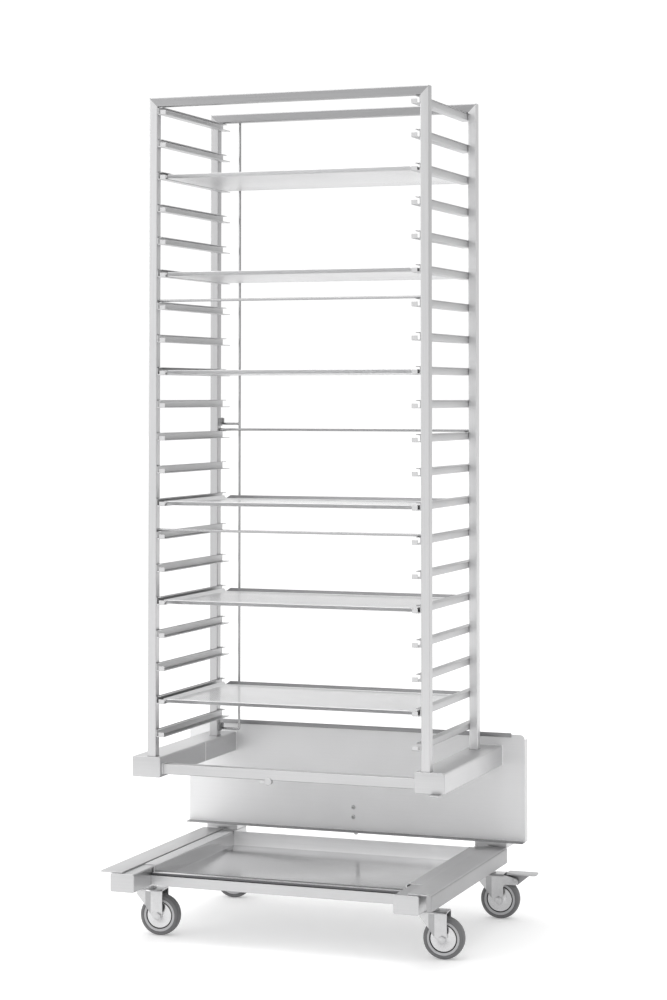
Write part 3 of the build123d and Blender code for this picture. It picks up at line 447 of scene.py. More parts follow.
# Painted light and shade: the right wing's top takes a lighter copy of its steel and its skirt a darker
# one.
WING_TOP_PAINTED_LIGHT = Steel("wing_top_painted_light", "stainless", grey(0.58), 0.36, Grain.ALONG_Y, metallic=0.85)
WING_SKIRT_PAINTED_SHADE = Steel("wing_skirt_painted_shade", "stainless", grey(0.37), 0.36, Grain.ALONG_Y)
RUNNER_STEEL = Steel("runner_steel", "stainless", grey(0.58), 0.38, Grain.ALONG_Y, edge_radius=0.0003,
                     metallic=0.75)
# Near-white ground welds: real welds, made brighter so that they draw the light edge along the joints,
# which is partly painted highlight.
WELD_AND_HIGHLIGHT = Steel("ground_weld_painted_highlight", "stainless", grey(0.88, 0.0), 0.3, Grain.ROUND, contrast=0.08, relief=0.2,
             edge_radius=0.0002, metallic=0.3)
# A dark steel: the mitre seams' dark joint lines, and painted shade along the uprights' feet where the foot
# welds sit.
DARK_SEAM_AND_SHADE = Steel("dark_seam_and_painted_shade", "stainless", grey(0.34), 0.38, Grain.ROUND, contrast=0.1, relief=0.2,
                  edge_radius=0.0002)
# Painted shade: darker copies of the tray steel for the trays' front rims, and darker still for the rear
# rims.
FRONT_RIM_PAINTED_SHADE = Steel("tray_front_rim_painted_shade", "tray_steel", grey(0.66), 0.32, Grain.ALONG_X, **SMOOTH)
REAR_RIM_PAINTED_SHADE = Steel("tray_rear_rim_painted_shade", "tray_steel", grey(0.3), 0.32, Grain.ALONG_X, **SMOOTH)
ROD = Steel("drawn_rod", "rod_steel", grey(0.42), 0.22, Grain.ALONG_Z, edge_radius=0.0002)
EYE = Steel("turned_eye", "eye_steel", grey(0.3), 0.38, Grain.ROUND)
# A dark steel: the colour of the plate's edge strip, and painted shade on the plate's hem and the pedal's
# brace.
DARK_LIP_AND_PAINTED_SHADE = Steel("dark_lip_and_painted_shade", "dark_steel", grey(0.28), 0.36, Grain.ALONG_X)
ZINC = Steel("zinc_plate", "zinc", grey(0.58), 0.28, Grain.ROUND, metallic=0.9, **BLASTED)
# Painted shade: a darker copy of the zinc for the forks' joggles.
CREASE_PAINTED_SHADE = Steel("fork_crease_painted_shade", "zinc", grey(0.36), 0.28, Grain.ROUND, **BLASTED)
SHADED = Steel("shaded_sheet", "stainless", grey(0.12), 0.25, Grain.ALONG_X, **SMOOTH)
DISC_STEEL = Steel("disc_steel", "zinc", grey(0.62), 0.2, Grain.ROUND, contrast=0.06)
SPRING = Steel("spring_wire", "spring_steel", grey(0.45), 0.3, Grain.ROUND)
PEDAL = Steel("pedal_plate", "pedal_steel", grey(0.5), 0.36, Grain.ALONG_X)
TYRE = Rubber("tyre_rubber", "tyre_grey", grey(0.17), grey(0.22, 0.0), 0.55)
CORE = Rubber("core_plastic", "core_grey", grey(0.6, 0.01), grey(0.56, 0.01), 0.42, relief=0.05)
# Painted shade: a near-black for the rings in the gap round each cover disc.
GAP_PAINTED_SHADE = Rubber("gap_painted_shade", "tyre_grey", grey(0.012, 0.0), grey(0.03, 0.0), 0.6, relief=0.05)


# Modelling helpers, in millimetres


def shape_block(x: Span, y: Span, z: Span, edge: float = 0.5, segments: int = 2) -> BMesh:
    """A block with rounded edges between two X, two Y and two Z values."""
    mesh = bmesh.new()
    low = Vector((min(x), min(y), min(z)))
    high = Vector((max(x), max(y), max(z)))
    size = high - low
    bmesh.ops.create_cube(mesh, size=1.0, matrix=Matrix.LocRotScale((low + high) / 2, None, size))
    if edge > 0.0:
        round_edges(mesh, mesh.edges[:], edge, segments)
    return mesh


def round_edges(mesh: BMesh, edges: Iterable[BMEdge], radius: float, segments: int = 3) -> None:
    """Rounds edges, or folds, with a radius."""
    bmesh.ops.bevel(mesh, geom=list(edges), offset=radius, offset_type="OFFSET", segments=segments,
                    profile=0.5, affect="EDGES", clamp_overlap=True, material=-1)


def round_corners(mesh: BMesh, corners: Iterable[BMVert], radius: float, segments: int = 5) -> None:
    """Rounds the corners of a flat outline or of a chain of edges."""
    bmesh.ops.bevel(mesh, geom=list(corners), offset=radius, offset_type="OFFSET", segments=segments,
                    profile=0.5, affect="VERTICES", clamp_overlap=True, material=-1)


def everything(mesh: BMesh) -> list:
    """All of a mesh's corners, edges and faces."""
    return mesh.verts[:] + mesh.edges[:] + mesh.faces[:]


def corners_in(geometry: Iterable) -> list[BMVert]:
    """The corners among what an operator returns."""
    return [item for item in geometry if isinstance(item, BMVert)]


def cut(mesh: BMesh, at: Point, normal: Point) -> None:
    """Cuts a mesh's faces along a plane and keeps both sides."""
    bmesh.ops.bisect_plane(mesh, geom=everything(mesh), plane_co=at, plane_no=normal)


def sharp_edges(mesh: BMesh, degrees: float = 60.0) -> list[BMEdge]:
    """The edges that turn by more than an angle."""
    return [edge for edge in mesh.edges if edge.calc_face_angle(0.0) > math.radians(degrees)]


def facing_front(at: Point) -> Matrix:
    """Where a shape turned round Z goes, so that its top faces the front."""
    return Matrix.Translation(at) @ Matrix.Rotation(math.pi / 2, 4, "X")


def edges_where(mesh: BMesh, test: Callable[[Vector, Vector], bool]) -> list[BMEdge]:
    """The edges whose two ends pass a test."""
    return [edge for edge in mesh.edges if test(edge.verts[0].co, edge.verts[1].co)]


def both(test: Callable[[Vector], bool]) -> Callable[[Vector, Vector], bool]:
    """A test of an edge that asks the same of both its ends."""
    return lambda first, second: test(first) and test(second)


def pull_edges(mesh: BMesh, edges: Sequence[BMEdge], move: Point) -> tuple[list[BMEdge], list[BMVert]]:
    """Extrudes edges along a vector.

    Args:
        mesh: The mesh.
        edges: The edges to pull.
        move: How far, along X, Y and Z.

    Returns:
        The new edges at the far end and their vertices.
    """
    made = bmesh.ops.extrude_edge_only(mesh, edges=list(edges))["geom"]
    corners = corners_in(made)
    known = set(corners)
    far = [item for item in made if isinstance(item, BMEdge) and known.issuperset(item.verts)]
    bmesh.ops.translate(mesh, verts=corners, vec=Vector(move))
    return far, corners


def mark(mesh: BMesh, test: Callable[[Vector, Vector], bool], number: int = 1) -> None:
    """Marks faces for one of a piece's other finishes.

    Args:
        mesh: The mesh.
        test: A test of a face's middle and its normal.
        number: Which of the other finishes, from 1.
    """
    mesh.normal_update()
    for face in mesh.faces:
        if test(face.calc_center_median(), face.normal):
            face.material_index = number


def flat_outline(points: Sequence[Point]) -> BMesh:
    """A single face over a few corner points."""
    mesh = bmesh.new()
    mesh.faces.new([mesh.verts.new(point) for point in points])
    return mesh


def prism(outline: BMesh, move: Point, edge: float = 0.4) -> BMesh:
    """Thickens a flat face into a prism along a vector and rounds its edges."""
    face = outline.faces[:]
    made = bmesh.ops.extrude_face_region(outline, geom=face)["geom"]
    bmesh.ops.translate(outline, verts=corners_in(made), vec=Vector(move))
    bmesh.ops.recalc_face_normals(outline, faces=outline.faces[:])
    if edge > 0.0:
        round_edges(outline, sharp_edges(outline, 40.0), edge, 2)
    return outline


def lathe(profile: Sequence[Span], steps: int = 48, closed: bool = False) -> BMesh:
    """Turns a profile round the Z axis.

    Args:
        profile: Points as radius and height.
        steps: How many steps the turn has.
        closed: Whether the profile's last point joins its first.

    Returns:
        The turned shape.
    """
    mesh = bmesh.new()
    points = [mesh.verts.new((radius, 0.0, height)) for radius, height in profile]
    pairs = list(zip(points, points[1:])) + ([(points[-1], points[0])] if closed else [])
    for pair in pairs:
        mesh.edges.new(pair)
    bmesh.ops.spin(mesh, geom=mesh.verts[:] + mesh.edges[:], cent=(0, 0, 0), axis=(0, 0, 1), dvec=(0, 0, 0),
                   angle=math.tau, steps=steps, use_merge=True, use_duplicate=False)
    bmesh.ops.remove_doubles(mesh, verts=mesh.verts[:], dist=0.001)
    bmesh.ops.recalc_face_normals(mesh, faces=mesh.faces[:])
    return mesh


def round_bar(points: Sequence[Point], diameter: float, bend: float, sides: int = 16) -> BMesh:
    """A round bar along a path, with a true bend at each corner.

    Args:
        points: The path's corners.
        diameter: The bar's diameter.
        bend: The bend radius of the bar's middle line.
        sides: How many sides its section has.

    Returns:
        The bar, with closed ends.
    """
    mesh = bmesh.new()
    path = [Vector(point) for point in points]
    heading = (path[1] - path[0]).normalized()
    bmesh.ops.create_circle(mesh, cap_ends=False, radius=diameter / 2, segments=sides,
                            matrix=Matrix.LocRotScale(path[0], heading.to_track_quat("Z", "Y"), None))
    ring = mesh.edges[:]
    at = path[0]
    for index in range(1, len(path)):
        heading = (path[index] - path[index - 1]).normalized()
        if index == len(path) - 1:
            pull_edges(mesh, ring, tuple(path[index] - at))
            break
        onward = (path[index + 1] - path[index]).normalized()
        angle = heading.angle(onward)
        run_out = bend * math.tan(angle / 2)
        stop = path[index] - heading * run_out
        ring, corners = pull_edges(mesh, ring, tuple(stop - at))
        axis = heading.cross(onward).normalized()
        centre = stop + axis.cross(heading) * bend
        turned = bmesh.ops.spin(mesh, geom=ring + corners, cent=centre, axis=axis, dvec=(0, 0, 0),
                                angle=angle, steps=6, use_merge=False, use_duplicate=False)
        last = turned["geom_last"]
        ring = [item for item in last if isinstance(item, BMEdge)]
        at = path[index] + onward * run_out
    bmesh.ops.holes_fill(mesh, edges=[edge for edge in mesh.edges if edge.is_boundary])
    bmesh.ops.recalc_face_normals(mesh, faces=mesh.faces[:])
    return mesh


def hex_prism(width: float, height: float, edge: float = 0.5) -> BMesh:
    """A hexagonal nut or head, standing on Z = 0, with its width across the flats."""
    mesh = bmesh.new()
    bmesh.ops.create_circle(mesh, cap_ends=True, radius=width / math.sqrt(3), segments=6)
    return prism(mesh, (0, 0, height), edge)


def socket_screw(radius: float, height: float, socket: float) -> BMesh:
    """A domed screw head with a hexagonal socket, standing on Z = 0."""
    mesh = lathe([(radius, 0.0), (radius, height * 0.45), (radius * 0.86, height * 0.8),
                  (socket * 1.15, height)], 24)
    rim = [edge for edge in mesh.edges if edge.is_boundary and edge.verts[0].co.z > height * 0.9]
    hexagon = bmesh.ops.create_circle(mesh, cap_ends=False, radius=socket, segments=6,
                                      matrix=Matrix.Translation((0, 0, height)))["verts"]
    sides = list({edge for corner in hexagon for edge in corner.link_edges})
    bmesh.ops.subdivide_edges(mesh, edges=sides, cuts=3)
    mouth = [edge for edge in mesh.edges if not edge.link_faces]
    bmesh.ops.bridge_loops(mesh, edges=rim + mouth)
    inner = [edge for edge in mesh.edges if edge.is_boundary and edge.verts[0].co.z > height * 0.9]
    floor, _ = pull_edges(mesh, inner, (0, 0, -height * 0.7))
    bmesh.ops.holes_fill(mesh, edges=floor)
    bmesh.ops.recalc_face_normals(mesh, faces=mesh.faces[:])
    return mesh


class Shape:
    """One piece in the making: a mesh in millimetres, gathered from parts."""

    def __init__(self) -> None:
        """Starts empty."""
        self.mesh = bmesh.new()

    def take(self, part: BMesh, place: Matrix | None = None) -> "Shape":
        """Adds a part, moved to its place.

        Args:
            part: The part, which is freed.
            place: Where it goes, or None where it is.

        Returns:
            This shape.
        """
        if place is not None:
            bmesh.ops.transform(part, matrix=place, verts=part.verts[:])
            if place.determinant() < 0:
                bmesh.ops.reverse_faces(part, faces=part.faces[:])
        carrier = bpy.data.meshes.new("carrier")
        part.to_mesh(carrier)
        part.free()
        self.mesh.from_mesh(carrier)
        bpy.data.meshes.remove(carrier)
        return self

    def piece(self, name: str, finish: Finish, body: str, stands_for: Sequence[str] = (),
              sheet: float = 0.0, edge: float = 0.0, others: Sequence[Finish] = ()) -> bpy.types.Object:
        """Makes the finished piece.

        Args:
            name: The piece's name.
            finish: Its finish.
            body: The body that it rides on.
            stands_for: The CAD nodes that it replaces.
            sheet: Its sheet thickness, or 0 where the shape is solid.
            edge: The radius that a Bevel modifier gives its edges.
            others: The finishes of the faces that are marked for them.

        Returns:
            The piece's object.
        """
        to_frame = Matrix.Scale(METRES, 4) @ Matrix.Translation(-FOOTPRINT_CENTRE)
        bmesh.ops.transform(self.mesh, matrix=to_frame, verts=self.mesh.verts[:])
        data = bpy.data.meshes.new(name)
        self.mesh.to_mesh(data)
        self.mesh.free()
        for polygon in data.polygons:
            polygon.use_smooth = True
        piece = bpy.data.objects.new(name, data)
        bpy.context.scene.collection.objects.link(piece)
        for each in (finish, *others):
            data.materials.append(each.material())
        if sheet > 0.0:
            wall = piece.modifiers.new("wall", "SOLIDIFY")
            wall.thickness = sheet * METRES
            wall.offset = 0.0
            wall.use_even_offset = True
        if edge > 0.0:
            soft = piece.modifiers.new("edges", "BEVEL")
            soft.width = edge * METRES
            soft.segments = 2
            soft.limit_method = "ANGLE"
            soft.angle_limit = math.radians(50)
            soft.harden_normals = True
        elif sheet == 0.0:
            data.set_sharp_from_angle(angle=math.radians(35.0))
        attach(piece, body)
        if stands_for:
            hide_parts(*stands_for)
        LOG.info("piece %s on %s", name, body)
        return piece


def dress(frame: dict, finish: Finish, *nodes: str) -> None:
    """Gives CAD nodes a finish.

    Args:
        frame: The loaded frame.
        finish: Their finish.
        nodes: Their names.
    """
    for name in nodes:
        piece = frame["nodes"][name]
        if not piece.material_slots:
            piece.data.materials.append(None)
        for slot in piece.material_slots:
            slot.material = finish.material()
        LOG.info("node %s", name)


# The rack


@dataclass
class Rack:
    """The two portals with their runners and cross rods."""

    half_width: float = 294.0
    tube: float = 18.0
    depth: float = 328.0
    foot: float = 352.0
    levels: int = 20
    lowest_top: float = 406.5
    pitch: float = 65.0
    runner_height: float = 15.5
    runner_length: float = 332.0
    sheet: float = 1.5
    upper_lip: float = 266.0
    lower_lip: float = 258.0
    stop_width: float = 12.0
    stop_height: float = 9.0
    fold: float = 1.7

    def level_top(self, level: int) -> float:
        """The height of the top of a level's runners, counted from the highest."""
        return self.lowest_top + (self.levels - level) * self.pitch

    def runner(self, side: Side, level: int) -> BMesh:
        """One folded runner, with its front stop turned up.

        Args:
            side: Its side.
            level: Its level.

        Returns:
            The middle surface of its sheet.
        """
        half = self.sheet / 2
        web = self.half_width - self.tube - half
        top = self.level_top(level) - half
        bottom = top - self.runner_height + self.sheet
        front = half
        chain = [(self.upper_lip, top), (web, top), (web, bottom),
                 (self.lower_lip + self.stop_width, bottom), (self.lower_lip, bottom)]
        mesh = bmesh.new()
        points = [mesh.verts.new((side.value * x, front, z)) for x, z in chain]
        for pair in zip(points, points[1:]):
            mesh.edges.new(pair)
        round_corners(mesh, points[1:3], self.fold, 3)
        pull_edges(mesh, mesh.edges[:], (0, self.runner_length - front, 0))
        limit = self.lower_lip + self.stop_width + 0.1
        base = edges_where(mesh, both(lambda point: abs(point.x) < limit and point.z < bottom + 0.01
                                      and point.y < front + 0.01))
        pull_edges(mesh, base, (0, 0, self.stop_height - half))
        fold = edges_where(mesh, both(lambda point: abs(point.x) < limit and abs(point.z - bottom) < 0.01
                                      and point.y < front + 0.01))
        round_edges(mesh, fold, 1.2, 3)
        return mesh

    def build(self, frame: dict) -> None:
        """Builds the runners and dresses the frame's tubes.

        Args:
            frame: The loaded frame.
        """
        for side in Side:
            runners = Shape()
            for level in range(1, self.levels + 1):
                runners.take(self.runner(side, level))
            word = side.name.lower()
            runners.piece(f"folded_runners_{word}", RUNNER_STEEL, "trolley", [f"runners_{word}"],
                          sheet=self.sheet, edge=0.3)
        dress(frame, SATIN_Z, "upright_front_left", "upright_front_right")
        # Painted shade on the rear left upright and painted light on the rear right one, as darker and
        # lighter copies of the uprights' steel.
        dress(frame, REAR_Z_PAINTED_SHADE, "upright_rear_left")
        dress(frame, REAR_RIGHT_Z_PAINTED_LIGHT, "upright_rear_right")
        dress(frame, RAIL_X_PAINTED_SHADE, "top_rails")
        dress(frame, ROD, "cross_rods")
        self.foot_welds()
        self.mitre_seams()

    def mitre_seams(self) -> None:
        """The ground mitre seams at the portals' upper corners."""
        seams = Shape()
        top = self.level_top(1) + self.tube + 0.5
        length = (self.tube - 1.0) * math.sqrt(2.0)
        proud = 0.06
        half = 0.35
        for face in (0.0, self.tube, self.depth - self.tube, self.depth):
            for side in Side:
                strip = shape_block((0.0, length), (face - proud, face + proud), (-half, half), edge=0.0)
                turn = Matrix.Rotation(math.radians(45.0 if side is Side.LEFT else 135.0), 4, "Y")
                corner = Vector((side.value * (self.half_width - 0.5), 0.0, top - 0.5))
                seams.take(strip, Matrix.Translation(corner) @ turn)
        seams.piece("mitre_seams", DARK_SEAM_AND_SHADE, "trolley")

    def foot_welds(self) -> None:
        """The welds round the uprights' feet, in the dark steel: painted shade of the line where each foot
        meets the beam.
        """
        welds = Shape()
        middle = self.half_width - self.tube / 2
        reach = self.tube / 2
        for side in Side:
            for y in (self.tube / 2, self.depth - self.tube / 2):
                corners = [(side.value * middle + a * reach, y + b * reach, self.foot)
                           for a, b in ((-1, -1), (1, -1), (1, 1), (-1, 1))]
                for start, end in zip(corners, corners[1:] + corners[:1]):
                    welds.take(weld_bead(start, end, 0.9))
        welds.piece("foot_welds", DARK_SEAM_AND_SHADE, "trolley")


def weld_bead(start: Point, end: Point, radius: float) -> BMesh:
    """A weld along a line: a row of small overlapping ripples."""
    mesh = bmesh.new()
    first, last = Vector(start), Vector(end)
    length = (last - first).length
    count = max(2, round(length / (radius * 1.3)))
    for index in range(count):
        at = first.lerp(last, (index + 0.5) / count)
        bmesh.ops.create_icosphere(mesh, subdivisions=2, radius=radius, matrix=Matrix.Translation(at))
    return mesh


@dataclass
class Trays:
    """The six perforated trays."""

    rack: Rack
    levels: tuple[int, ...] = (3, 6, 9, 13, 16, 19)
    width: float = 530.0
    depth: float = 325.0
    front: float = 2.0
    rim: float = 8.5
    side_run: float = 4.5
    end_run: float = 8.5
    sheet: float = 1.0

    def blank(self, level: int) -> BMesh:
        """One tray's folded sheet, with open corners.

        Args:
            level: The level it lies on.

        Returns:
            The middle surface of its sheet.
        """
        half = self.sheet / 2
        bottom = self.rack.level_top(level) - self.rack.runner_height + self.rack.sheet + half
        x = self.width / 2 - self.side_run
        y = (self.front + self.end_run, self.front + self.depth - self.end_run)
        mesh = flat_outline([(-x, y[0], bottom), (x, y[0], bottom), (x, y[1], bottom), (-x, y[1], bottom)])
        rise = self.rim - self.sheet
        middle = sum(y) / 2
        folds = []
        for edge in mesh.edges[:]:
            low, high = (corner.co.copy() for corner in edge.verts)
            centre = (low + high) / 2
            along_x = abs(low.y - high.y) < 1.0
            if along_x:
                out = math.copysign(self.end_run - half, centre.y - middle)
                move, narrow = (0.0, out, rise), 7.0
            else:
                out = math.copysign(self.side_run - half, centre.x)
                move, narrow = (out, 0.0, rise), 1.5
            _, corners = pull_edges(mesh, [edge], move)
            for corner in corners:
                if along_x:
                    corner.co.x -= math.copysign(narrow, corner.co.x)
                else:
                    corner.co.y -= math.copysign(narrow, corner.co.y - middle)
            folds.append(edge)
        round_edges(mesh, folds, 1.6, 3)
        # Painted shade: the front rim's faces take the first darker copy, the rear rim's faces the second.
        mark(mesh, lambda point, _: point.y < y[0] - 1.7)
        mark(mesh, lambda point, _: point.y > y[1] + 1.7, 2)
        return mesh

    def build(self) -> None:
        """Builds the trays."""
        middle = self.front + self.depth / 2
        centre = ((-FOOTPRINT_CENTRE.x) * METRES, (middle - FOOTPRINT_CENTRE.y) * METRES)
        finish = PerforatedSteel("perforated_sheet", "tray_steel", grey(0.82), 0.34, Grain.ROUND,
                                 contrast=0.015, relief=0.0, edge_radius=0.0003, metallic=0.8,
                                 centre=centre)
        for number, level in enumerate(self.levels, 1):
            Shape().take(self.blank(level)).piece(
                f"perforated_tray_{number}", finish, f"tray_body_{number}", [f"tray_{number}"],
                sheet=self.sheet, edge=0.2, others=[FRONT_RIM_PAINTED_SHADE, REAR_RIM_PAINTED_SHADE])


@dataclass
class RetainingBar:
    """The bent rod that keeps the trays in, and its eyes."""

    pivot: tuple[float, float] = (-276.0, 333.0)
    reach: float = 40.0
    diameter: float = 5.0
    top: float = 1655.0
    middle: float = 1006.0
    bottom: float = 365.5
    pin: float = 12.8
    bend: float = 2.8
    eye_gap: float = 2.8
    eye_height: float = 9.0
    eye_plate: float = 3.0
    rear: float = 328.0

    def build(self) -> None:
        """Builds the rod and its eyes."""
        x, y = self.pivot
        rod_x = x + self.reach
        rod = Shape()
        long_path = [(x, self.top - self.pin), (x, self.top), (rod_x, self.top), (rod_x, self.bottom),
                     (x, self.bottom), (x, self.bottom + self.pin)]
        arm_path = [(rod_x, self.middle), (x, self.middle), (x, self.middle + self.pin)]
        for path in (long_path, arm_path):
            rod.take(round_bar([(at, y, z) for at, z in path], self.diameter, self.bend))
        weld_x = rod_x - 3.2
        for z in (self.middle - 2.2, self.middle + 2.2):
            rod.take(weld_bead((weld_x, y - 1.5, z), (weld_x, y + 1.5, z), 0.9))
        rod.piece("bent_bar", ROD, "bar", ["retaining_bar"])
        eyes = Shape()
        for z, up in ((self.top, -1), (self.middle, 1), (self.bottom, 1)):
            middle = z + up * (self.eye_gap + self.eye_height / 2)
            eyes.take(self.ring(), Matrix.Translation((x, y, middle)))
            low, high = sorted((z + up * self.eye_gap, z + up * (self.eye_gap + self.eye_height)))
            neck = (low + 0.3, high - 0.3)
            if up > 0:
                plate = (x, x + self.eye_plate)
                eyes.take(shape_block(plate, (self.rear - 16.0, self.rear), (high - 16.0, high), 0.7))
                eyes.take(shape_block((x + 0.2, plate[1]), (self.rear - 2.0, y - 2.9), neck, 0.5))
            else:
                eyes.take(shape_block((x - 4.0, x + 4.0), (self.rear - 0.5, y - 3.0), neck, 0.6))
        eyes.piece("turned_eyes", EYE, "trolley", ["bar_eyes"])

    def ring(self) -> BMesh:
        """One eye, turned with small chamfers."""
        half = self.eye_height / 2
        return lathe([(2.6, -half + 0.4), (3.0, -half), (4.1, -half), (4.5, -half + 0.4), (4.5, half - 0.4),
                      (4.1, half), (3.0, half), (2.6, half - 0.4)], 32, closed=True)


@dataclass
class UpperFrame:
    """The beams, the front rail and the small fittings on them."""

    inner: float = 264.0
    outer: float = 324.0
    bottom: float = 312.0
    top: float = 352.0
    front: float = -5.0
    rear: float = 385.0
    cap: float = 2.0
    corner: float = 3.0
    rail: tuple[Span, Span] = ((5.0, 25.0), (318.0, 338.0))

    def capped_end(self, side: Side, inner: float, outer: float, y: Span, z: Span) -> BMesh:
        """A tube's end cap, with the tube's rounded corners and a welded rim."""
        mesh = shape_block(side.span(inner, outer), y, z, edge=0.0)
        along = edges_where(mesh, lambda a, b: abs(a.y - b.y) > 0.5)
        round_edges(mesh, along, self.corner, 5)
        rims = sharp_edges(mesh)
        round_edges(mesh, rims, 1.1, 3)
        return mesh

    def build(self, frame: dict) -> None:
        """Builds the caps, the lug, the tab and the welds, and dresses the tubes.

        Args:
            frame: The loaded frame.
        """
        dress(frame, BEAM_Y, "upper_beam_left", "upper_beam_right")
        dress(frame, SATIN_X, "upper_front_rail")
        caps = Shape()
        for side in Side:
            caps.take(self.capped_end(side, self.inner, self.outer, (self.front, self.front + self.cap),
                                      (self.bottom, self.top)))
            for y in ((-127.0, -125.0), (438.0, 440.0)):
                caps.take(self.capped_end(side, 263.0, 313.0, y, (110.0, 145.0)))
        caps.piece("welded_caps", SATIN_X, "trolley", ["tube_end_caps"])
        self.fittings()
        self.welds()

    def fittings(self) -> None:
        """The round lug under the front rail and the tab under the right beam."""
        lug = Shape()
        button = lathe([(0.0, 0.0), (7.5, 0.0), (7.5, 0.8), (6.9, 1.4), (0.0, 1.4)], 40)
        lug.take(button, facing_front((-38.5, 5.0, 316.0)))
        lug.take(shape_block((-56.5, -32.5), (5.0, 15.0), (311.0, 318.0), 0.6))
        lug.piece("front_lug", SATIN_X, "trolley", ["rail_lug"])
        tab = shape_block((297.0, 318.0), (-19.0, 3.0), (309.0, 312.0), edge=0.0)
        round_edges(tab, edges_where(tab, lambda a, b: abs(a.z - b.z) > 1.0 and a.y < -18.0), 3.0, 4)
        rims = sharp_edges(tab)
        round_edges(tab, rims, 0.4, 2)
        Shape().take(tab).piece("pressed_tab", SATIN_Y, "trolley", ["beam_tab"])

    def welds(self) -> None:
        """The welds between beams, rail and plate, and the seam across each beam's inner wall."""
        welds = Shape()
        for side in Side:
            s = side.value
            inner = s * self.inner
            outer = s * self.outer
            back = self.rear - 0.8
            welds.take(weld_bead((inner, back, self.bottom), (inner, back, self.top), 1.9))
            welds.take(weld_bead((outer, back, self.bottom), (outer, back, self.top), 1.3))
            welds.take(weld_bead((inner, back, self.top), (outer, back, self.top), 1.2))
            (y0, y1), (z0, z1) = self.rail
            end = s * (self.inner - 0.2)
            welds.take(weld_bead((end, y0 + 0.3, z0), (end, y0 + 0.3, z1), 0.9))
            welds.take(weld_bead((end, y0, z1), (end, y1, z1), 0.8))
            welds.take(shape_block(side.span(self.inner, self.inner - 0.5), (217.5, 222.5),
                                   (self.bottom + 2.0, self.top - 1.0), 0.2))
        welds.piece("upper_welds", WELD_AND_HIGHLIGHT, "trolley")


@dataclass
class SealingPlate:
    """The plate at the rear, with its folds, lip, screws, posts and latch."""

    half_width: float = 372.0
    bottom: float = 158.0
    top: float = 375.0
    front: float = 385.0
    sheet: float = 2.0
    hem: float = 17.0
    side_fold: float = 15.0
    corner: float = 10.0
    latch_y: float = 402.5

    def plate(self) -> BMesh:
        """The plate's sheet with its hem in front and its folds behind."""
        half = self.sheet / 2
        y = self.front + half
        x = self.half_width - half - 0.3
        z = (self.bottom + half, self.top)
        mesh = flat_outline([(-x, y, z[0]), (x, y, z[0]), (x, y, z[1]), (-x, y, z[1])])
        upper = [corner for corner in mesh.verts if corner.co.z > self.top - 1.0]
        round_corners(mesh, upper, self.corner, 6)
        hem = edges_where(mesh, both(lambda point: point.z < self.bottom + 5.0))
        pull_edges(mesh, hem, (0.0, -(self.hem + half), 0.0))
        sides = edges_where(mesh, lambda a, b: abs(a.x - b.x) < 0.01 and abs(abs(a.x) - x) < 0.01
                            and abs(a.z - b.z) > 50.0)
        pull_edges(mesh, sides, (0.0, self.side_fold + half, 0.0))
        round_edges(mesh, hem + sides, 2.0, 3)
        # Painted shade: the hem's faces take the dark steel, for the shade along the fold.
        mark(mesh, lambda middle, _: middle.z < self.bottom + 2.2 and middle.y < y - 1.5)
        return mesh

    def build(self, frame: dict) -> None:
        """Builds the plate and the latch, and dresses the posts.

        Args:
            frame: The loaded frame.
        """
        Shape().take(self.plate()).piece("folded_plate", SATIN_PLATE, "trolley", ["sealing_plate"],
                                         sheet=self.sheet, edge=0.3, others=[DARK_LIP_AND_PAINTED_SHADE])
        Shape().take(shape_block((-343.0, 343.0), (382.0, 385.0), (369.5, 378.0), 0.5)).piece(
            "plate_edge_strip", DARK_LIP_AND_PAINTED_SHADE, "trolley", ["plate_lip"])
        screws = Shape()
        lower_screw, upper_screw = 188.0, 208.0
        for z in (lower_screw, upper_screw):
            place = facing_front((0.0, self.front, z))
            screws.take(socket_screw(4.5, 3.0, 2.0), place)
            screws.take(lathe([(2.5, -7.0), (2.5, 0.0)], 20), place)
        screws.piece("socket_screws", ZINC, "trolley", ["plate_screws"])
        dress(frame, SATIN_Z, "plate_posts")
        self.latch(frame)

    def latch(self, frame: dict) -> None:
        """The latch's housing, pin and knob.

        Args:
            frame: The loaded frame.
        """
        rear = self.front + self.sheet
        body = Shape()
        body.take(shape_block((-15.0, 15.0), (rear, rear + 26.0), (178.0, 214.8), 1.2, 3))
        body.take(shape_block((-15.0, 15.0), (rear, rear + 26.0), (215.2, 218.0), 0.6))
        for x in (-11.0, 11.0):
            for y in (rear + 4.5, rear + 21.5):
                body.take(socket_screw(2.4, 1.4, 1.1), Matrix.Translation((x, y, 218.0)))
        body.piece("latch_block", ZINC, "trolley", ["latch_housing"])
        pin = lathe([(0.0, 148.5), (3.0, 148.5), (4.0, 149.8), (4.0, 230.0), (8.2, 230.0), (9.0, 231.0),
                     (9.0, 233.5), (8.2, 234.4), (8.2, 238.4), (9.0, 239.4), (9.0, 242.6), (7.8, 244.0),
                     (0.0, 244.0)], 40)
        Shape().take(pin, Matrix.Translation((0.0, self.latch_y, 0.0))).piece(
            "pull_knob", ZINC, "latch_pin_body", ["latch_pin"])
        dress(frame, SPRING, "latch_spring")


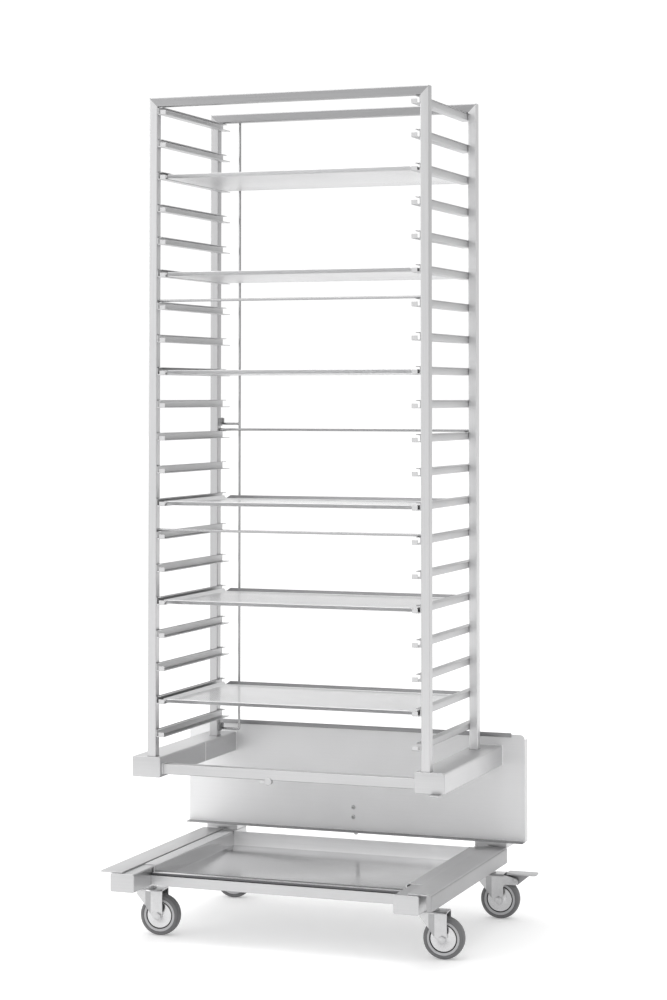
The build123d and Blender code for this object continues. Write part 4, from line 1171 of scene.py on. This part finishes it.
@dataclass
class Chassis:
    """The side tubes with their wings, the cross rails and the drip tray."""

    wing_top: float = 148.0
    wing_sheet: float = 3.0
    wing_y: Span = (-122.0, 376.0)
    wing_x: Span = (289.0, 336.0)
    skirt_bottom: float = 117.0
    skirt_return: float = 10.0

    def left_wing(self) -> BMesh:
        """The flat wing on the left side tube."""
        x = Side.LEFT.span(*self.wing_x)
        mesh = shape_block(x, self.wing_y, (self.wing_top - self.wing_sheet, self.wing_top), edge=0.0)
        uprights = edges_where(mesh, lambda a, b: abs(a.z - b.z) > 1.0)
        round_edges(mesh, uprights, 2.0, 4)
        rims = sharp_edges(mesh)
        round_edges(mesh, rims, 0.4, 2)
        return mesh

    def right_wing(self) -> BMesh:
        """The folded wing on the right side tube, with its skirt and front return."""
        half = self.wing_sheet / 2
        x = (self.wing_x[0], self.wing_x[1] - half)
        y = (self.wing_y[0] + half, self.wing_y[1])
        z = self.wing_top - half
        mesh = flat_outline([(x[0], y[0], z), (x[1], y[0], z), (x[1], y[1], z), (x[0], y[1], z)])
        long_edge = edges_where(mesh, both(lambda point: point.x > x[1] - 0.01))
        pull_edges(mesh, long_edge, (0.0, 0.0, self.skirt_bottom - z))
        front = edges_where(mesh, lambda a, b: abs(a.x - x[1]) < 0.01 and abs(b.x - x[1]) < 0.01
                            and abs(a.y - y[0]) < 0.01 and abs(b.y - y[0]) < 0.01)
        pull_edges(mesh, front, (-(self.skirt_return - half), 0.0, 0.0))
        round_edges(mesh, long_edge + front, 3.2, 4)
        # Painted shade: the skirt and return, which face the side, take the darker copy of the wing's
        # steel.
        mark(mesh, lambda middle, normal: abs(normal.z) < 0.7)
        return mesh

    def build(self, frame: dict) -> None:
        """Builds the wings and dresses the tubes.

        Args:
            frame: The loaded frame.
        """
        dress(frame, SATIN_Y, "side_tube_left", "side_tube_right")
        dress(frame, SATIN_X, "lower_cross_rails")
        Shape().take(self.left_wing()).piece("flat_wing", SATIN_Y, "trolley", ["wing_left"])
        Shape().take(self.right_wing()).piece("skirted_wing", WING_TOP_PAINTED_LIGHT, "trolley", ["wing_right"],
                                              sheet=self.wing_sheet, edge=0.4, others=[WING_SKIRT_PAINTED_SHADE])


@dataclass
class DripTray:
    """The deep tray between the side tubes, hooked over the front rail."""

    half_width: float = 261.0
    sheet: float = 1.5
    floor: float = 115.0
    top: float = 146.5
    front: float = -27.0
    rear: float = 364.0
    hook_front: float = -48.0
    hook_top: float = 135.5
    lip: float = 4.0
    hook_step: float = 11.0
    flange: float = 287.0
    overrun: float = 14.0

    def blank(self) -> BMesh:
        """The tray's folded sheet.

        Returns:
            The middle surface of its sheet.
        """
        half = self.sheet / 2
        x = self.half_width - half
        y = (self.front + half, self.rear - half)
        z = (self.floor + half, self.top - half)
        hook = self.hook_top - half
        mesh = shape_block((-x, x), y, z, edge=0.0)
        lid = [face for face in mesh.faces if face.calc_center_median().z > z[1] - 0.1]
        bmesh.ops.delete(mesh, geom=lid, context="FACES_ONLY")
        cut(mesh, (0, 0, hook), (0, 0, 1))
        middles = [(face, face.calc_center_median()) for face in mesh.faces]
        upper_front = [face for face, middle in middles if abs(middle.y - y[0]) < 0.1 and middle.z > hook]
        bmesh.ops.delete(mesh, geom=upper_front, context="FACES")
        for side in Side:
            s = side.value
            brow = edges_where(mesh, both(lambda point: point.x * s > x - 0.1 and point.z > z[1] - 0.1))
            pull_edges(mesh, brow, (s * (self.flange - x), 0.0, 0.0))
            cheek = edges_where(mesh, both(lambda point: point.x * s > x - 0.1 and abs(point.x) < x + 0.1
                                           and abs(point.y - y[0]) < 0.1 and point.z > hook - 0.1))
            pull_edges(mesh, cheek, (0.0, -self.overrun, 0.0))
        sill = edges_where(mesh, both(lambda point: abs(point.y - y[0]) < 0.1 and abs(point.z - hook) < 0.1
                                      and abs(point.x) < x + 0.1))
        sill = [edge for edge in sill if abs(edge.verts[0].co.x - edge.verts[1].co.x) > 100.0]
        sill, _ = pull_edges(mesh, sill, (0.0, -self.hook_step, 0.0))
        ledge, _ = pull_edges(mesh, sill, (0.0, self.hook_front + half - y[0] + self.hook_step, 0.0))
        pull_edges(mesh, ledge, (0.0, 0.0, half - self.lip))
        low = edges_where(mesh, both(lambda point: point.z < z[0] + 0.1))
        posts = edges_where(mesh, lambda a, b: abs(a.x - b.x) < 0.1 and abs(a.y - b.y) < 0.1
                            and abs(a.z - b.z) > 5.0 and abs(abs(a.x) - x) < 0.1
                            and (a.y > y[1] - 0.1 or (a.y < y[0] + 0.1 and min(a.z, b.z) < z[0] + 0.1)))
        round_edges(mesh, low + posts, 1.3, 3)
        brows = edges_where(mesh, lambda a, b: abs(abs(a.x) - x) < 0.1 and abs(abs(b.x) - x) < 0.1
                            and min(a.z, b.z) > z[1] - 0.1 and abs(a.y - b.y) > 50.0)
        bends = (y[0], self.hook_front + half)
        ledge = edges_where(mesh, lambda a, b: abs(a.z - hook) < 0.1 and abs(b.z - hook) < 0.1
                            and abs(a.x - b.x) > 100.0 and min(abs(a.y - bend) for bend in bends) < 0.1)
        round_edges(mesh, brows + ledge, 1.0, 3)
        step = y[0] - self.hook_step
        mark(mesh, lambda middle, _: hook - self.lip < middle.z < hook + 0.2 and abs(middle.x) < x - 1.0
             and (step < middle.y < y[0] + 0.2 or middle.y < self.hook_front + 1.5))
        # Painted light: the rear wall's front faces take the lighter copy of the sheet.
        mark(mesh, lambda middle, normal: middle.y > y[1] - 0.2 and abs(normal.y) > 0.9, 2)
        # Painted shade: the flanges' top faces take the darker copy of the sheet.
        mark(mesh, lambda middle, normal: abs(middle.x) > x + 0.5 and abs(normal.z) > 0.9, 3)
        return mesh

    def build(self) -> None:
        """Builds the drip tray."""
        Shape().take(self.blank()).piece("folded_drip_tray", SATIN_TRAY, "drip_tray_body", ["drip_tray"],
                                         sheet=self.sheet, edge=0.25, others=[SHADED, TRAY_WALL_PAINTED_LIGHT, TRAY_BROW_PAINTED_SHADE])


# Casters


@dataclass
class Caster:
    """One swivel caster. Its own frame has x along the trail, y along the axle and z up from the floor."""

    name: str
    side: Side
    y: float
    has_brake: bool
    turn: float = 5.0
    x: float = 294.0
    trail: float = 21.0
    axle_z: float = 40.0

    @property
    def place(self) -> Matrix:
        """Where the caster stands."""
        return Matrix.Translation((self.side.value * self.x, self.y, 0.0)) @ Matrix.Rotation(
            math.radians(self.turn), 4, "Z")

    @property
    def on_axle(self) -> Matrix:
        """Where a shape turned round Z goes, so that it turns round the axle."""
        return self.place @ Matrix.Translation((self.trail, 0.0, self.axle_z)) @ Matrix.Rotation(
            -math.pi / 2, 4, "X")

    def fork(self) -> BMesh:
        """The pressed fork: two bent legs joined by the crown.

        Returns:
            The middle surface of its sheet.
        """
        top = 89.75
        outline = [(-23.9, top), (-23.9, 80.0), (16.8, 31.0), (30.0, 31.0)]
        if self.has_brake:
            outline += [(30.0, 66.0), (33.5, 71.5), (60.0, 71.5), (60.0, 83.5), (38.0, top)]
        else:
            outline += [(30.0, top)]
        mesh = flat_outline([(x, 0.0, z) for x, z in outline])
        corners = {(round(v.co.x, 1), round(v.co.z, 1)): v for v in mesh.verts}
        round_corners(mesh, [corners[(30.0, 31.0)]], 8.8, 6)
        low = [v for v in mesh.verts if abs(v.co.x - 16.8) < 0.1 and abs(v.co.z - 31.0) < 0.1]
        round_corners(mesh, low, 4.2, 5)
        if self.has_brake:
            end = [v for v in mesh.verts if v.co.x > 59.9]
            round_corners(mesh, end, 5.0, 5)
        for crossing in (-4.5, 4.5, 30.0):
            cut(mesh, (crossing, 0, 0), (1, 0, 0))
        for corner in mesh.verts:
            share = min(1.0, max(0.0, (corner.co.x + 4.5) / 9.0))
            corner.co.y = -(15.25 + 3.5 * share)
        creases = edges_where(mesh, lambda a, b: abs(a.x - b.x) < 0.01
                              and (abs(a.x + 4.5) < 0.01 or abs(a.x - 4.5) < 0.01))
        round_edges(mesh, creases, 1.6, 3)
        twin = bmesh.ops.duplicate(mesh, geom=everything(mesh))["geom"]
        bmesh.ops.scale(mesh, vec=(1.0, -1.0, 1.0), verts=corners_in(twin))
        bmesh.ops.reverse_faces(mesh, faces=[item for item in twin if isinstance(item, BMFace)])
        heads = edges_where(mesh, both(lambda point: point.z > top - 0.01 and point.x < 30.01))
        bmesh.ops.bridge_loops(mesh, edges=heads)
        shoulders = edges_where(mesh, both(lambda point: point.z > top - 0.01 and point.x < 30.01))
        shoulders = [edge for edge in shoulders if len(edge.link_faces) == 2
                     and edge.calc_face_angle(0.0) > math.radians(60)]
        round_edges(mesh, shoulders, 3.0, 4)
        bmesh.ops.recalc_face_normals(mesh, faces=mesh.faces[:])
        # Painted shade: the joggle's faces, which turn towards the side, take the darker copy of the zinc.
        mark(mesh, lambda middle, normal: -9.5 < middle.x < 7.5 and middle.z < top - 4.0
             and abs(normal.x) > 0.06)
        return mesh

    def axle(self) -> Shape:
        """The bolt with its washer and head, and the nut behind."""
        shape = Shape()
        washer = [(4.0, 20.0), (7.0, 20.0), (7.3, 20.3), (7.3, 21.0), (7.0, 21.3), (4.0, 21.3)]
        for sign in (1.0, -1.0):
            flip = Matrix.Scale(sign, 4, (0, 0, 1))
            shape.take(lathe(washer, 32, closed=True), self.on_axle @ flip)
            shape.take(hex_prism(13.0, 2.9, 0.6), self.on_axle @ flip @ Matrix.Translation((0, 0, 21.1)))
        shape.take(lathe([(4.0, -21.0), (4.0, 21.0)], 24), self.on_axle)
        shape.take(lathe([(0.0, 24.6), (3.2, 24.6), (4.0, 23.8), (4.0, 21.0)], 24), self.on_axle)
        return shape

    def discs(self) -> Shape:
        """The two dished cover discs."""
        shape = Shape()
        profile = [(4.2, 17.4), (7.4, 17.4), (8.0, 16.8), (8.0, 12.4), (9.6, 11.3), (13.0, 10.7),
                   (18.0, 10.5), (22.0, 10.9), (24.3, 11.0), (25.0, 10.4), (25.0, 9.5), (4.2, 9.5)]
        for sign in (1.0, -1.0):
            shape.take(lathe(profile, 64, closed=True), self.on_axle @ Matrix.Scale(sign, 4, (0, 0, 1)))
        return shape

    def core(self) -> Shape:
        """The wheel's moulded core."""
        half = [(4.2, 9.0), (25.0, 9.0), (25.2, 7.6), (26.9, 7.6), (27.1, 10.9), (27.5, 11.3), (28.6, 11.3),
                (28.9, 11.0), (29.4, 11.0), (29.7, 11.3), (31.6, 11.3), (31.95, 11.0)]
        profile = half + [(radius, -height) for radius, height in reversed(half)]
        return Shape().take(lathe(profile, 64, closed=True), self.on_axle)

    def gap_shade_rings(self) -> Shape:
        """Near-black rings that fill the gap between the core and its discs: painted shade of the groove.
        """
        shape = Shape()
        profile = [(25.3, 7.7), (25.3, 10.2), (26.0, 10.6), (26.8, 10.2), (26.8, 7.7)]
        for sign in (1.0, -1.0):
            shape.take(lathe(profile, 64, closed=True), self.on_axle @ Matrix.Scale(sign, 4, (0, 0, 1)))
        return shape

    def tyre(self) -> Shape:
        """The tyre, with round shoulders and a parting line."""
        half = [(32.0, 12.2), (32.4, 12.5), (35.8, 12.5), (37.4, 11.9), (38.7, 10.2), (39.5, 7.2),
                (39.9, 3.2), (39.95, 0.5), (39.75, 0.0)]
        profile = half + [(radius, -height) for radius, height in reversed(half[:-1])]
        return Shape().take(lathe(profile, 72, closed=True), self.on_axle)

    def pedal(self) -> Shape:
        """The brake pedal with its nose and pivot pin."""
        shape = Shape()
        length = 61.3
        plate = shape_block((0.0, length), (-17.0, 17.0), (-2.5, 0.0), edge=0.0)
        tips = edges_where(plate, lambda a, b: abs(a.z - b.z) > 1.0 and a.x > 30.0)
        round_edges(plate, tips, 6.0, 6)
        round_edges(plate, sharp_edges(plate), 0.6, 2)
        tilt = Matrix.Rotation(0.01, 4, "Y")
        shape.take(plate, self.place @ Matrix.Translation((36.0, 0.0, 93.6)) @ tilt)
        brace_half = 10.0
        corners = [(37.0, 91.8), (50.0, 70.2), (58.0, 70.2), (84.0, 91.3)]
        web = flat_outline([(x, -brace_half, z) for x, z in corners])
        brace = prism(web, (0.0, 2 * brace_half, 0.0), 0.8)
        # Painted shade: the whole brace under the pedal takes the dark steel.
        mark(brace, lambda middle, normal: True)
        shape.take(brace, self.place)
        to_pin = self.place @ Matrix.Translation((54.0, 0.0, 81.0)) @ Matrix.Rotation(-math.pi / 2, 4, "X")
        pin = [(0.0, -22.4), (3.4, -22.4), (4.1, -21.8), (4.1, -20.5), (3.0, -20.5), (3.0, 20.5),
               (4.1, 20.5), (4.1, 21.8), (3.4, 22.4), (0.0, 22.4)]
        shape.take(lathe(pin, 28), to_pin)
        return shape

    def build(self) -> None:
        """Builds the caster's pieces."""
        word = self.name
        Shape().take(self.fork(), self.place).piece(
            f"pressed_fork_{word}", ZINC, f"caster_{word}", [f"fork_{word}"],
            sheet=2.5, edge=0.4, others=[CREASE_PAINTED_SHADE])
        self.axle().piece(f"axle_bolt_{word}", ZINC, f"caster_{word}", [f"axle_{word}"])
        self.discs().piece(f"cover_discs_{word}", DISC_STEEL, f"caster_{word}", [f"discs_{word}"])
        self.core().piece(f"moulded_core_{word}", CORE, f"wheel_{word}", [f"core_{word}"])
        self.gap_shade_rings().piece(f"gap_shade_rings_{word}", GAP_PAINTED_SHADE, f"wheel_{word}")
        self.tyre().piece(f"round_tyre_{word}", TYRE, f"wheel_{word}", [f"tyre_{word}"])
        if self.has_brake:
            self.pedal().piece(f"brake_pedal_{word}", PEDAL, f"brake_{word}", [f"pedal_{word}"],
                               others=[DARK_LIP_AND_PAINTED_SHADE])

    def stem(self) -> tuple[BMesh, Matrix]:
        """The turned stem and its place."""
        profile = [(0.0, 84.9), (9.4, 84.9), (10.0, 85.5), (10.0, 87.9), (6.0, 87.9), (6.0, 91.1),
                   (11.5, 91.1), (12.0, 91.6), (12.0, 92.8), (9.0, 94.1), (7.0, 94.1), (7.0, 101.0),
                   (6.6, 101.4), (6.6, 102.2), (7.0, 102.6), (7.0, 109.9), (5.0, 110.0), (5.0, 124.0),
                   (0.0, 124.0)]
        return lathe(profile, 40), self.place


def build_casters(frame: dict) -> None:
    """Builds the four casters and their stems.

    Args:
        frame: The loaded frame.
    """
    casters = [
        Caster("front_left", Side.LEFT, 20.0, False), Caster("front_right", Side.RIGHT, 20.0, False),
        Caster("rear_left", Side.LEFT, 398.0, True), Caster("rear_right", Side.RIGHT, 398.0, True),
    ]
    stems = Shape()
    for caster in casters:
        caster.build()
        stems.take(*caster.stem())
    stems.piece("turned_stems", ZINC, "trolley", ["caster_stems"])
    dress(frame, ZINC, "stem_nuts")


# The studio


@dataclass
class Studio:
    """The pale floor, the soft light and the camera at the photograph's angle."""

    camera: Point = (1.6909, -4.4733, 1.0626)
    pitch: float = 92.333
    azimuth: float = 20.359
    lens: float = 85.644
    rise: float = -0.2
    lights: list[tuple[str, Point, Point, float, float]] = field(default_factory=lambda: [
        ("overhead", (-0.6, -0.8, 4.2), (0.0, 0.0, 0.5), 3.0, 55.0),
        ("left_softbox", (-3.4, -2.8, 2.2), (0.0, 0.0, 0.9), 2.0, 25.0),
    ])

    def floor(self) -> None:
        """A large pale floor."""
        mesh = bmesh.new()
        bmesh.ops.create_circle(mesh, cap_ends=True, radius=60.0, segments=64)
        data = bpy.data.meshes.new("floor")
        mesh.to_mesh(data)
        mesh.free()
        floor = bpy.data.objects.new("floor", data)
        bpy.context.scene.collection.objects.link(floor)
        made = bpy.data.materials.new("pale_floor")
        made.use_nodes = True
        tree = made.node_tree
        shader = next(node for node in tree.nodes if node.type == "BSDF_PRINCIPLED")
        place = tree.nodes.new("ShaderNodeTexCoord").outputs["Object"]
        cloud = add_node(tree, "ShaderNodeTexNoise", {"Vector": place, "Scale": 0.8, "Detail": 2.0})
        tree.links.new(colour_mix(tree, cloud.outputs["Fac"], (0.84, 0.84, 0.84), (0.86, 0.86, 0.86)),
                       shader.inputs["Base Color"])
        shader.inputs["Roughness"].default_value = 0.8
        shader.inputs["Specular IOR Level"].default_value = 0.1
        shader.inputs["Emission Color"].default_value = (1.0, 1.0, 1.0, 1.0)
        path = tree.nodes.new("ShaderNodeLightPath")
        seen = math_node(tree, "MULTIPLY", path.outputs["Is Camera Ray"], 0.3)
        mirrored = math_node(tree, "MULTIPLY", path.outputs["Is Glossy Ray"], 0.3)
        tree.links.new(math_node(tree, "ADD", seen, mirrored), shader.inputs["Emission Strength"])
        data.materials.append(made)

    def world(self) -> None:
        """A white backdrop, with soft light that is strongest from above and weaker from the right."""
        world = bpy.data.worlds.new("studio")
        bpy.context.scene.world = world
        world.use_nodes = True
        tree = world.node_tree
        back = next(node for node in tree.nodes if node.type == "BACKGROUND")
        way = tree.nodes.new("ShaderNodeTexCoord").outputs["Generated"]
        lean = add_node(tree, "ShaderNodeVectorMath", {0: way, 1: (-0.75, -0.06, 0.2)},
                        operation="DOT_PRODUCT")
        soft = ramp(tree, lean.outputs["Value"], -0.4, 0.4, 0.72, 1.12)
        seen = tree.nodes.new("ShaderNodeLightPath").outputs["Is Camera Ray"]
        tree.links.new(math_node(tree, "MAXIMUM", soft, math_node(tree, "MULTIPLY", seen, 1.05)),
                       back.inputs["Strength"])
        back.inputs["Color"].default_value = (1.0, 1.0, 1.0, 1.0)

    def build(self) -> None:
        """Builds the studio and aims the camera."""
        self.floor()
        self.world()
        for name, place, aim, size, power in self.lights:
            data = bpy.data.lights.new(name, "AREA")
            data.shape = "SQUARE"
            data.size = size
            data.energy = power
            light = bpy.data.objects.new(name, data)
            light.location = place
            light.rotation_euler = (Vector(aim) - Vector(place)).to_track_quat("-Z", "Y").to_euler()
            bpy.context.scene.collection.objects.link(light)
        data = bpy.data.cameras.new("camera")
        data.lens = self.lens
        data.sensor_width = 36.0
        data.shift_y = self.rise
        camera = bpy.data.objects.new("camera", data)
        camera.location = self.camera
        camera.rotation_euler = (math.radians(self.pitch), 0.0, math.radians(self.azimuth))
        bpy.context.scene.collection.objects.link(camera)
        bpy.context.scene.camera = camera
        bpy.context.scene.view_settings.view_transform = "Standard"


def main() -> None:
    """Builds the trolley's looks in order."""
    logging.basicConfig(level=logging.INFO, format="%(name)s: %(message)s")
    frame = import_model()
    rack = Rack()
    rack.build(frame)
    Trays(rack).build()
    RetainingBar().build()
    UpperFrame().build(frame)
    SealingPlate().build(frame)
    Chassis().build(frame)
    DripTray().build()
    build_casters(frame)
    Studio().build()


if __name__ == "__main__":
    main()
